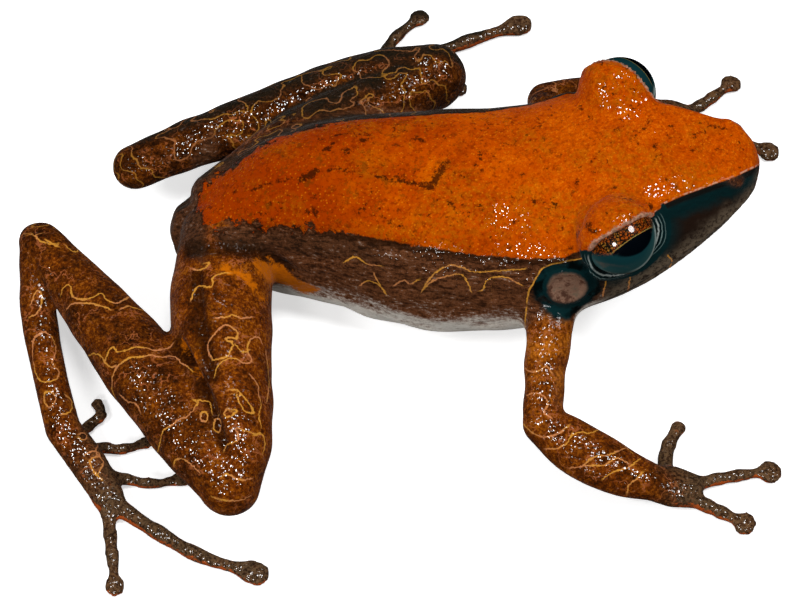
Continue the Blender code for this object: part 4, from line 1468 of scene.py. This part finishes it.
class Bench:
    """A short way to lay out shader nodes."""

    def __init__(self, name: str) -> None:
        """Start a material with one Principled shader, and places in millimetres.

        Args:
            name: what the material is called.
        """
        self.material = bpy.data.materials.new(name)
        self.material.use_nodes = True
        place = self.node("TexCoord", {}, "Object")
        self.place = self.node("VectorMath", {0: place, "Scale": 1.0 / MM}, operation="SCALE")

    def set(self, socket: bpy.types.NodeSocket, value: Colour | float) -> None:
        """Fill one socket.

        Args:
            socket: the socket.
            value: a worked-out value to link, or a plain number or colour code.
        """
        if isinstance(value, Value):
            self.material.node_tree.links.new(value.socket, socket)
        else:
            socket.default_value = tone(value) if isinstance(value, str) else value

    def node(self, kind: str, inputs: dict, output: str | int = 0, **options: str) -> Value:
        """Lay out one node.

        Args:
            kind: its type, without the prefix.
            inputs: what goes into each socket, by the socket's name or number.
            output: the name or number of the socket that is read.
            options: its own settings.

        Returns:
            The value of that socket.
        """
        made = self.material.node_tree.nodes.new("ShaderNode" + kind)
        for key, option in options.items():
            setattr(made, key, option)
        for key, value in inputs.items():
            self.set(made.inputs[key], value)
        return Value(self, made.outputs[output])

    def dress(self, sockets: dict[str, Colour | float]) -> bpy.types.Material:
        """Fill the shader's own sockets.

        Args:
            sockets: what goes into each, by its name.

        Returns:
            The material.
        """
        shader = self.material.node_tree.nodes["Principled BSDF"]
        for key, value in sockets.items():
            self.set(shader.inputs[key], value)
        return self.material

    def mark(self, name: str) -> Value:
        """Read a value that the mesh carries."""
        return self.node("Attribute", {}, "Fac", attribute_name=name)

    def mix(self, share: Value, under: Colour, over: Colour) -> Value:
        """Lay one colour over another by a share."""
        return self.node("Mix", {0: share, 6: under, 7: over}, 2, data_type="RGBA")

    def layers(self, colour: Colour, *coats: tuple[Value, Colour]) -> Value:
        """Lay coats over a colour in order.

        Args:
            colour: what lies under them all.
            coats: the share and the colour of each.

        Returns:
            The colour on top.
        """
        for share, coat in coats:
            colour = self.mix(share, colour, coat)
        return colour

    def shades(self, value: Value, low: float, high: float, *codes: str) -> Value:
        """Run softly through a row of colours.

        Args:
            value: what picks the colour.
            low: where the first one ends.
            high: where the last one is full.
            codes: the colours, spread evenly between the two.

        Returns:
            The colour.
        """
        step = (high - low) / (len(codes) - 1)
        starts = [low + k * step for k in range(len(codes) - 1)]
        coats = [(value.rise(start, start + step), code) for start, code in zip(starts, codes[1:])]
        return self.layers(codes[0], *coats)

    def noise(self, per_mm: float, detail: float = 2.0, rough: float = 0.5, along: float = 1.0) -> Value:
        """Lay out cloudy noise.

        Args:
            per_mm: clouds in a millimetre.
            detail: how many finer layers it has.
            rough: how strong they are.
            along: share of the clouds along the body.

        Returns:
            The noise, about 0 to 1.
        """
        place = self.place
        if along != 1.0:
            place = self.node("VectorMath", {0: place, 1: (along, 1.0, 1.0)}, operation="MULTIPLY")
        sizes = {"Vector": place, "Scale": per_mm, "Detail": detail, "Roughness": rough}
        return self.node("TexNoise", sizes, "Fac")

    def cells(self, per_mm: float, feature: str = "F1") -> Value:
        """Give the distance to the middles of cells, or to their edges."""
        sizes = {"Vector": self.place, "Scale": per_mm}
        return self.node("TexVoronoi", sizes, "Distance", feature=feature)

    def bump(self, height: Value, depth_mm: float, *before: Value) -> Value:
        """Turn a height into a bent normal, over one that is bent already."""
        inputs = {"Strength": 1.0, "Distance": depth_mm * MM, "Height": height}
        return self.node("Bump", inputs | {"Normal": normal for normal in before}, "Normal")


@dataclass(frozen=True)
class SkinFinish:
    """Moist granular skin: burnt-orange back, rust-brown flanks and limbs with gold lines."""

    orange: str = "AE4200"
    orange_light: str = "C05600"
    orange_deep: str = "8C2C00"
    grain_light: str = "DA7E12"
    grain_dark: str = "742400"
    head: str = "B44600"
    head_light: str = "D06408"
    head_deep: str = "983400"
    ochre: str = "9C5604"
    fleck: str = "260E03"
    smudge: str = "5C3004"
    brown: str = "391A06"
    brown_light: str = "66340A"
    brown_dark: str = "180A03"
    # Painted shade for the far upper slopes; it also gives the dull zones their own dark tone.
    shade: str = "141610"
    warm: str = "642C06"
    warm_light: str = "94500C"
    amber: str = "C07020"
    vein: str = "9A5630"
    vein_light: str = "C07C4C"
    flank: str = "623A22"
    flank_dark: str = "2E180C"
    flank_light: str = "A89280"
    gold: str = "CA8C34"
    teal: str = "0A2426"
    pool: str = "040A0A"
    muzzle: str = "20150F"
    lip: str = "665848"
    pale: str = "DCD6CC"
    digit: str = "5E4A34"
    digit_dark: str = "241810"
    streak: str = "C0541C"
    rim: str = "C89A80"
    rim_dull: str = "7C6C5C"
    ear: str = "80604E"
    ear_dark: str = "503428"
    groin: str = "B86006"
    nostril: tuple[float, ...] = (0.002, 0.002, 0.002, 1.0)
    socket: tuple[float, ...] = (0.003, 0.004, 0.004, 1.0)
    mouth: tuple[float, ...] = (0.004, 0.003, 0.003, 1.0)
    line_width: float = 0.055
    granules_per_mm: float = 3.5
    beads_per_mm: float = 6.5
    # Lines on the fold under each eye: where, half width, strength and colour; the pale ones are painted
    # reflections, the dark ones lie between them.
    sill_reflections: tuple[tuple[float, float, float, str], ...] = (
        (0.06, 0.12, 0.95, "C4CEC8"),
        (0.27, 0.09, 0.85, "04090A"),
        (0.44, 0.07, 0.7, "8CA4A0"),
        (0.62, 0.08, 0.75, "04090A"),
        (0.82, 0.06, 0.45, "7E9894"),
    )

    def back_colour(self, b: Bench) -> Value:
        """Mottle the back: pale granules on burnt orange, deeper clouds and dark flecks.

        Args:
            b: the material's bench.

        Returns:
            The back's colour.
        """
        forth = b.mark("forth")
        cloud = b.noise(0.28, 3.0) * 0.6 + b.noise(1.6, 5.0, 0.7) * 0.4
        fine = b.noise(4.5, 4.0, 0.7) * 0.7 + b.noise(1.2, 3.0) * 0.3
        head = b.shades(fine, 0.36, 0.64, self.head_deep, self.head, self.head_light)
        ochre = b.noise(0.22, 2.0).rise(0.45, 0.6) * b.noise(2.4, 4.0, 0.7).rise(0.4, 0.6, 0.5)
        flecks = b.noise(1.7, 5.0, 0.74).rise(0.56, 0.65, 0.85) * b.noise(0.45, 3.0).rise(0.4, 0.56)
        stroke = b.mark("mark") + (b.noise(2.4, 5.0, 0.78) * 1.8 - 0.9)
        return b.layers(
            b.shades(cloud, 0.38, 0.62, self.orange_deep, self.orange, self.orange_light),
            (forth.rise(0.35, 0.9, 0.75), head),
            ((b.noise(0.5, 4.0, 0.6) * 0.8 + forth).rise(0.95, 0.45, 0.85), self.orange_deep),
            (ochre, self.ochre),
            (b.cells(3.4).rise(0.3, 0.1, 0.4), self.grain_light),
            (b.noise(3.0, 4.0, 0.7).rise(0.5, 0.64) * (0.85 - forth * 0.4), self.grain_dark),
            (flecks, self.fleck),
            (b.noise(1.0, 6.0, 0.78).rise(0.54, 0.64, 0.6) * forth.rise(0.72, 0.3), self.smudge),
            (stroke.rise(0.12, -0.1, 0.85), self.fleck),
        )

    def limb_colour(self, b: Bench) -> Value:
        """Mottle the limbs and flanks, with creases and far slopes in painted shade, belly, digits and
        orange marks.

        Args:
            b: the material's bench.

        Returns:
            The colour of all but the back and head.
        """
        fine, belly = b.noise(4.2, 5.0, 0.75), b.mark("belly")
        grain = fine * 0.72 + b.noise(0.8, 4.0, 0.6) * 0.28
        patchy = b.noise(0.7, 3.0) * 1.2 - 0.6
        # Warmth of each limb piece, lowered on the far limbs as painted shade.
        warmth_and_far_shade = b.mark("warm") + patchy
        vein = abs(b.noise(0.5, 4.0, 0.55) - 0.5).rise(0.014, 0.005, 0.75)
        long = b.noise(3.6, 5.0, 0.72, along=0.25) * 0.6 + fine * 0.4
        # Lighter toward the belly: its own colour, partly painted bounce light from the floor.
        flank = b.shades(belly * 0.2 + long, 0.41, 0.71, self.flank_dark, self.flank, self.flank_light)
        tips = b.shades(fine, 0.38, 0.6, self.digit_dark, self.digit)
        broken = b.mark("streak") + (b.noise(1.6, 5.0, 0.75) * 4.0 - 2.2)
        # far: painted shade on the far upper slopes.
        far = b.mark("shade") * fine.rise(0.2, 0.5, 0.85)
        spot = b.mark("spot") + (b.noise(1.6, 5.0, 0.72) * 3.0 - 1.5)
        return b.layers(
            b.shades(grain, 0.4, 0.6, self.brown_dark, self.brown, self.brown_light),
            (warmth_and_far_shade.rise(0.1, 0.9), b.shades(grain, 0.4, 0.6, self.brown, self.warm, self.warm_light)),
            (warmth_and_far_shade.rise(0.95, 1.5), b.shades(grain, 0.4, 0.6, self.warm, self.warm_light, self.amber)),
            (vein * b.noise(0.4, 2.0).rise(0.4, 0.56), self.vein),
            (b.mark("trunk"), flank),
            (b.mark("digit") * 0.85, b.mix(broken.rise(0.4, 0.9, 0.8), tips, self.streak)),
            # Painted shade: darker along the skin's creases.
            ((b.mark("crease") + patchy * 0.5).rise(1.3, 0.2, 0.75), self.brown_dark),
            # Painted shade on the far upper slopes, mixed with the dull zones' own dark tone.
            (far.most(b.mark("dull") * 0.3), self.shade),
            (b.mark("under") * 0.5, self.digit),
            # The belly's own pale colour, made lighter as painted bounce light from the floor.
            ((belly + (long * 2.4 - 1.2)).rise(0.15, 1.1), self.pale),
            (spot.rise(0.25, -0.3, 0.9), self.groin),
        )

    def gold_lines(self, b: Bench, colour: Value) -> Value:
        """Draw the thin gold lines, a little uneven in place and breadth.

        Args:
            b: the material's bench.
            colour: what lies under them.

        Returns:
            The colour with the lines.
        """
        wobble = b.noise(4.0, 3.0) * 0.3 - 0.15
        breadth, wide = b.noise(1.3, 1.0) * 0.08 - 0.04, self.line_width
        strokes = [
            (abs(b.mark(f"line_{k}") + wobble) + breadth).rise(wide * 1.5, wide * 0.5) * b.mark(f"ink_{k}")
            for k in range(Lines.groups)
        ]
        line = b.shades(b.noise(0.35, 2.0), 0.42, 0.56, self.vein_light, self.gold)
        return b.mix(reduce(Value.most, strokes) * 0.85, colour, line)

    def face_colour(self, b: Bench, colour: Value) -> Value:
        """Lay the dark mask over the side of the head, the temple and the eardrum.

        Args:
            b: the material's bench.
            colour: what lies under it.

        Returns:
            The colour with the mask.
        """
        temple, ear, nostril = b.mark("temple"), b.mark("ear"), b.mark("nostril")
        cloud = b.noise(0.9, 4.0, 0.6) * 1.4 - 0.7
        teal = (b.mark("back") + cloud).rise(-2.6, -1.3).most(b.mark("socket"))
        lip = b.mix(b.noise(3.0, 5.0, 0.72).rise(0.45, 0.62, 0.85), self.lip, self.muzzle)
        lips = (abs(b.mark("mouth")) + cloud).rise(2.2, 0.4, 0.9)
        inside = temple.rise(0.05, -0.05) * (ear + cloud).rise(3.0, 2.4)
        drum = b.shades(b.noise(1.1, 5.0, 0.7), 0.36, 0.64, self.ear_dark, self.ear, self.lip)
        edge = abs(b.noise(2.0, 3.0) * 0.16 + (temple - 0.04)).rise(0.08, 0.03)
        return b.layers(
            colour,
            (
                b.mark("face").most(b.mark("rim").rise(-1.1, -0.8)),
                b.layers(self.muzzle, (teal, self.teal), (lips, lip)),
            ),
            (inside, b.shades(b.noise(0.8, 3.0), 0.4, 0.6, self.pool, self.teal)),
            (ear.rise(1.85, 1.7), self.teal),
            ((cloud * 0.3 + ear).rise(1.6, 1.25, 0.92), drum),
            (nostril.rise(0.42, 0.28, 0.85), self.ear),
            (nostril.rise(0.22, 0.16), self.nostril),
            (edge * b.noise(1.1, 3.0, 0.6).rise(0.3, 0.46, 0.9), self.gold),
        )

    def eye_colour(self, b: Bench, colour: Value) -> Value:
        """Edge the upper lid with pale pink, darken the lower lid round the eye and paint reflection lines
        on the fold under it.

        Args:
            b: the material's bench.
            colour: what lies under the lids' own colours.

        Returns:
            The colour with the lids.
        """
        rim, lid = b.mark("rim"), b.mark("lid")
        edge = abs(rim + 0.03 + (b.noise(2.2, 5.0, 0.75) - 0.5)).rise(0.2, 0.06, 0.8)
        pink = b.shades(b.noise(1.8, 4.0, 0.65), 0.4, 0.6, self.rim_dull, self.rim)
        below = lid.rise(0.1, -0.2) * b.mark("border").rise(0.3, 0.0)
        # shown: where the painted reflection lines show on the lower lid.
        shown = below * lid.rise(-0.3, -0.8) * b.mark("gleam")
        bend = b.noise(0.9, 2.0) * 0.16 + b.mark("sill")
        sill_reflections = [
            (abs(bend - place).rise(width, width * 0.3, strength) * shown, shade)
            for place, width, strength, shade in self.sill_reflections
        ]
        return b.layers(
            colour,
            (edge * lid.rise(-0.1, 0.3), pink),
            (rim.rise(-0.95, -0.75) * below, self.teal),
            *sill_reflections,
            (rim.rise(0.06, 0.12), self.socket),
        )

    def make(self) -> bpy.types.Material:
        """Build the material: colour zones, two sizes of granules, soft folds and wet glints.

        Returns:
            The material.
        """
        b = Bench("moist_skin")
        back, face, rim, lid, forth = (b.mark(name) for name in ("back", "face", "rim", "lid", "forth"))
        ragged = (b.noise(1.1, 6.0, 0.72) * 2.0 - 1.0) * b.mark("ragged")
        border = back + ragged * (1.08 - face)
        beads = abs(border - 0.08).rise(0.12, 0.04, 0.7) * face * b.noise(3.0, 3.0, 0.6).rise(0.42, 0.55)
        colour = b.layers(
            self.gold_lines(b, self.face_colour(b, self.limb_colour(b))),
            (abs(border + 0.25).rise(0.55, 0.15, 0.7) * b.mark("trunk"), self.brown_dark),
            (border.rise(-0.1, 0.1), self.back_colour(b)),
            (beads, self.rim),
        )
        lips = abs(b.mark("mouth")).rise(0.12, 0.04, 0.9)
        cells, small = b.cells(self.granules_per_mm), b.cells(self.beads_per_mm)
        dome, bead = (1.0 - cells * cells * 5.2).most(0.0), (1.0 - small * small * 6.0).most(0.0)
        below = rim.rise(-1.0, -0.7) * lid.rise(0.1, -0.2)
        temple = b.mark("temple").rise(0.05, -0.05) * b.mark("ear").rise(3.2, 2.8)
        sleek = (face * back.rise(0.1, -0.1)).most(below.most(temple))
        rough, orange = 1.0 - sleek * 0.92, border.rise(-0.3, 0.3)
        glisten = b.mark("glisten") * (b.noise(0.9, 3.0).rise(0.35, 0.5) * 0.35 + 0.65)
        folds = b.noise(2.0, 4.0, 0.6, along=0.3) * (1.0 - orange)
        folds = folds + forth.rise(0.45, 0.1) * orange * b.noise(1.8, 5.0, 0.7)
        soft = b.bump(folds, 0.08, b.bump(b.noise(0.9, 3.0, 0.55), 0.06))
        height = dome * (0.0165 - orange * 0.004) * (glisten * 0.6 + 0.4) * rough
        grain = b.bump(height, 1.0, soft)
        wet = (dome.rise(0.1, 0.5) * glisten * rough).most(sleek * (0.14 - below * 0.11))
        return b.dress(
            {
                "Base Color": b.mix(lips, self.eye_colour(b, colour), self.mouth),
                "Normal": b.bump(b.noise(3.0, 5.0, 0.7), 0.1, b.bump(bead * 0.01 * rough, 1.0, grain)),
                "Coat Normal": grain,
                "Roughness": b.noise(3.0, 2.0) * 0.25 + 0.42,
                "Coat Weight": wet * (1.0 - b.mark("dull") * 0.8),
                "Sheen Weight": 0.08,
                "Sheen Roughness": 0.25,
                "Specular IOR Level": 0.0,
                "Coat Roughness": 0.05,
                "Coat IOR": 2.4,
            }
        )


@dataclass(frozen=True)
class EyeFinish:
    """A wet eye: copper and gold iris above, dark below with a painted teal reflection, and a wide
    lens-shaped pupil.
    """

    copper: str = "944208"
    gold: str = "8E6420"
    dark: str = "0C0805"
    pupil: str = "010408"
    # lower: the dark lower iris, tinted teal as painted reflection.
    lower: str = "0E3236"
    reflection_veil: str = "345A5A"
    edge: str = "B4C6C0"
    ring: str = "86763A"
    lift: float = 32.0

    def make(self) -> bpy.types.Material:
        """Build the material: a dark lens shape in a netted iris, a painted reflection on the lower part,
        with a clear coat over all.

        Returns:
            The material.
        """
        b = Bench("wet_eye")
        f, up, out = b.mark("front"), b.mark("upward"), b.mark("outward")
        lift = np.radians(self.lift)
        u = up * float(np.cos(lift)) - out * float(np.sin(lift))
        oval = (abs((f - 0.05) / 0.68) ** 1.7 + abs((u - 0.06) / 0.25) ** 1.7) ** 0.5
        net = b.cells(4.4, "DISTANCE_TO_EDGE").rise(0.04, 0.18) * b.noise(5.0, 4.0, 0.7).rise(0.4, 0.56)
        iris = b.mix(b.noise(1.2, 2.0).rise(0.48, 0.66), self.copper, self.gold)
        # toward: how near the eyeball's edge as seen from the camera; it places the painted reflection.
        toward = f * -0.24 + (up * 0.87 + out * 0.44)
        crisp = oval.rise(1.0, 0.96) * u.rise(-0.02, 0.12)
        # edge: a pale painted reflection line across the lower eyeball.
        edge = abs(toward - 0.25).rise(0.14, 0.05, 0.8) * (f.rise(-0.45, 0.1) * u.rise(0.12, -0.05))
        colour = b.layers(
            # Painted reflection: lighter teal toward the eyeball's edge.
            b.shades(toward, 0.15, 0.75, self.reflection_veil, self.lower),
            (u.rise(0.02, 0.2), b.mix(net, self.dark, iris)),
            # The far eye's upper part takes the teal lower colour, a painted reflection.
            (b.mark("far") * up.rise(0.3, 0.45), self.lower),
            (abs(oval - 1.03).rise(0.04, 0.012) * u.rise(0.05, 0.25), self.ring),
            (crisp.most(oval.rise(1.0, 0.76)), self.pupil),
            (edge, self.edge),
        )
        gloss = {"Specular IOR Level": 0.05, "Coat Weight": 1.0, "Coat Roughness": 0.02, "Coat IOR": 1.5}
        return b.dress({"Base Color": colour, "Roughness": 0.3} | gloss)


@dataclass(frozen=True)
class FloorFinish:
    """Plain matt white paper on a light table."""

    shade: float = 0.9
    glow: float = 0.55

    def make(self) -> bpy.types.Material:
        """Build the material.

        Returns:
            The material.
        """
        glow = {"Emission Color": WHITE, "Emission Strength": self.glow}
        matt = {"Base Color": (*[self.shade] * 3, 1.0), "Roughness": 0.9, "Specular IOR Level": 0.1}
        return Bench("white_paper").dress(matt | glow)


# --------------------------------------------------------------------- studio


class BodyFrame:
    """The frog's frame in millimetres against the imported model's frame in metres."""

    def __init__(self) -> None:
        """Find the shift from the place of the left eye."""
        middle = np.mean(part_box("eye_left"), axis=0) / MM
        self.shift = middle - EyeSeat(Side.LEFT).centre()

    def to_metres(self, points: Array) -> Array:
        """Turn body millimetres into the imported model's metres."""
        return (np.asarray(points) + self.shift) * MM


@dataclass
class Studio:
    """Camera, lights and floor."""

    azimuth: float = 6.0
    elevation: float = 60.0
    roll: float = 5.0
    distance: float = 300.0
    pixels_per_mm: float = 13.6
    target: tuple[float, float, float] = (0.0, 0.0, 6.0)
    target_pixel: tuple[float, float] = (471.809, 208.452)
    width: int = 803
    height: int = 612
    sensor: float = 36.0
    nearest_m: float = 0.005
    farthest_m: float = 20.0
    lamp_away_m: float = 0.6
    surround: float = 0.17
    floor_half_m: float = 1.5
    lamps: tuple[tuple[str, tuple[float, float, float], float, float], ...] = (
        ("overhead", (0.05, 0.04, 1.0), 0.2, 1.5),
        ("ahead", (0.62, -0.05, 0.78), 0.18, 1.5),
        ("behind", (-0.62, -0.26, 0.74), 0.15, 1.3),
        ("near", (-0.2, -0.8, 0.57), 0.12, 0.9),
    )

    def axes(self) -> tuple[Array, Array, Array]:
        """Work out how the camera is turned.

        Returns:
            Its right, up and backward directions.
        """
        turn, lift, roll = np.radians([self.azimuth, self.elevation, self.roll])
        back = np.array([np.sin(turn) * np.cos(lift), -np.cos(turn) * np.cos(lift), np.sin(lift)])
        right = unit(np.cross(UP, back))
        up = np.cross(back, right)
        return right * np.cos(roll) - up * np.sin(roll), right * np.sin(roll) + up * np.cos(roll), back

    def eye_point(self) -> Array:
        """Set the camera back from the target, and aside so that the target falls on its pixel.

        Returns:
            The camera's place in body millimetres.
        """
        right, up, back = self.axes()
        across = (self.target_pixel[0] - self.width / 2.0) / self.pixels_per_mm
        above = (self.height / 2.0 - self.target_pixel[1]) / self.pixels_per_mm
        return np.array(self.target) + back * self.distance - right * across - up * above

    def camera(self, body: BodyFrame) -> None:
        """Set up the camera.

        Args:
            body: the frame it is put in.
        """
        data = bpy.data.cameras.new("camera")
        data.sensor_width = self.sensor
        data.sensor_fit = "HORIZONTAL"
        data.lens = self.pixels_per_mm * self.distance * self.sensor / self.width
        data.clip_start, data.clip_end = self.nearest_m, self.farthest_m
        place = np.eye(4)
        place[:3, :3] = np.stack(self.axes(), axis=1)
        place[:3, 3] = body.to_metres(self.eye_point())
        made = stand("camera", data)
        made.matrix_world = Matrix(place.tolist())
        bpy.context.scene.camera = made

    def lights(self) -> None:
        """Hang four small round soft lamps, facing the frog, in a dim white surround."""
        for name, toward, size, power in self.lamps:
            data = bpy.data.lights.new(name, "AREA")
            data.energy, data.size, data.shape = power, size, "DISK"
            made, heading = stand(name, data), Vector(unit(toward))
            made.location = heading * self.lamp_away_m
            made.rotation_euler = heading.to_track_quat("Z", "Y").to_euler()
        world = bpy.data.worlds.new("surround")
        world.use_nodes = True
        shade = world.node_tree.nodes["Background"]
        shade.inputs["Color"].default_value = WHITE
        shade.inputs["Strength"].default_value = self.surround
        world.cycles_visibility.glossy = False
        bpy.context.scene.world = world
        bpy.context.scene.view_settings.view_transform = "Standard"

    def floor(self) -> None:
        """Lay the floor as one flat square."""
        corners = [(x, y, 0.0) for x, y in ((-1, -1), (1, -1), (1, 1), (-1, 1))]
        mesh = bpy.data.meshes.new("floor")
        mesh.from_pydata(np.array(corners) * self.floor_half_m, [], [(0, 1, 2, 3)])
        mesh.materials.append(FloorFinish().make())
        made = stand("floor", mesh)
        made.visible_diffuse = made.visible_glossy = False


def main() -> None:
    """Build the frog and its studio and report each piece."""
    logging.basicConfig(level=logging.INFO)
    body, studio = BodyFrame(), Studio()
    studio.camera(body)
    studio.lights()
    studio.floor()
    skin = Skin(Trunk(), studio)
    skin.wrap()
    skin.soften()
    skin.shape()
    skin.paint_zones()
    piece = skin.piece(body)
    piece.data.materials.append(SkinFinish().make())
    flesh = [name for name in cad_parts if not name.startswith("eye_")]
    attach(piece, "root")
    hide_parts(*flesh)
    log.info("skin: %d points", len(piece.data.vertices))
    wet = EyeFinish().make()
    for seat in EYES:
        eye = Eyeball(seat).piece(body)
        eye.data.materials.append(wet)
        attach(eye, "root")
        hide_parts("eye_" + seat.side.name.lower())
        log.info("%s: %d points", eye.name, len(eye.data.vertices))


if __name__ == "__main__":
    main()
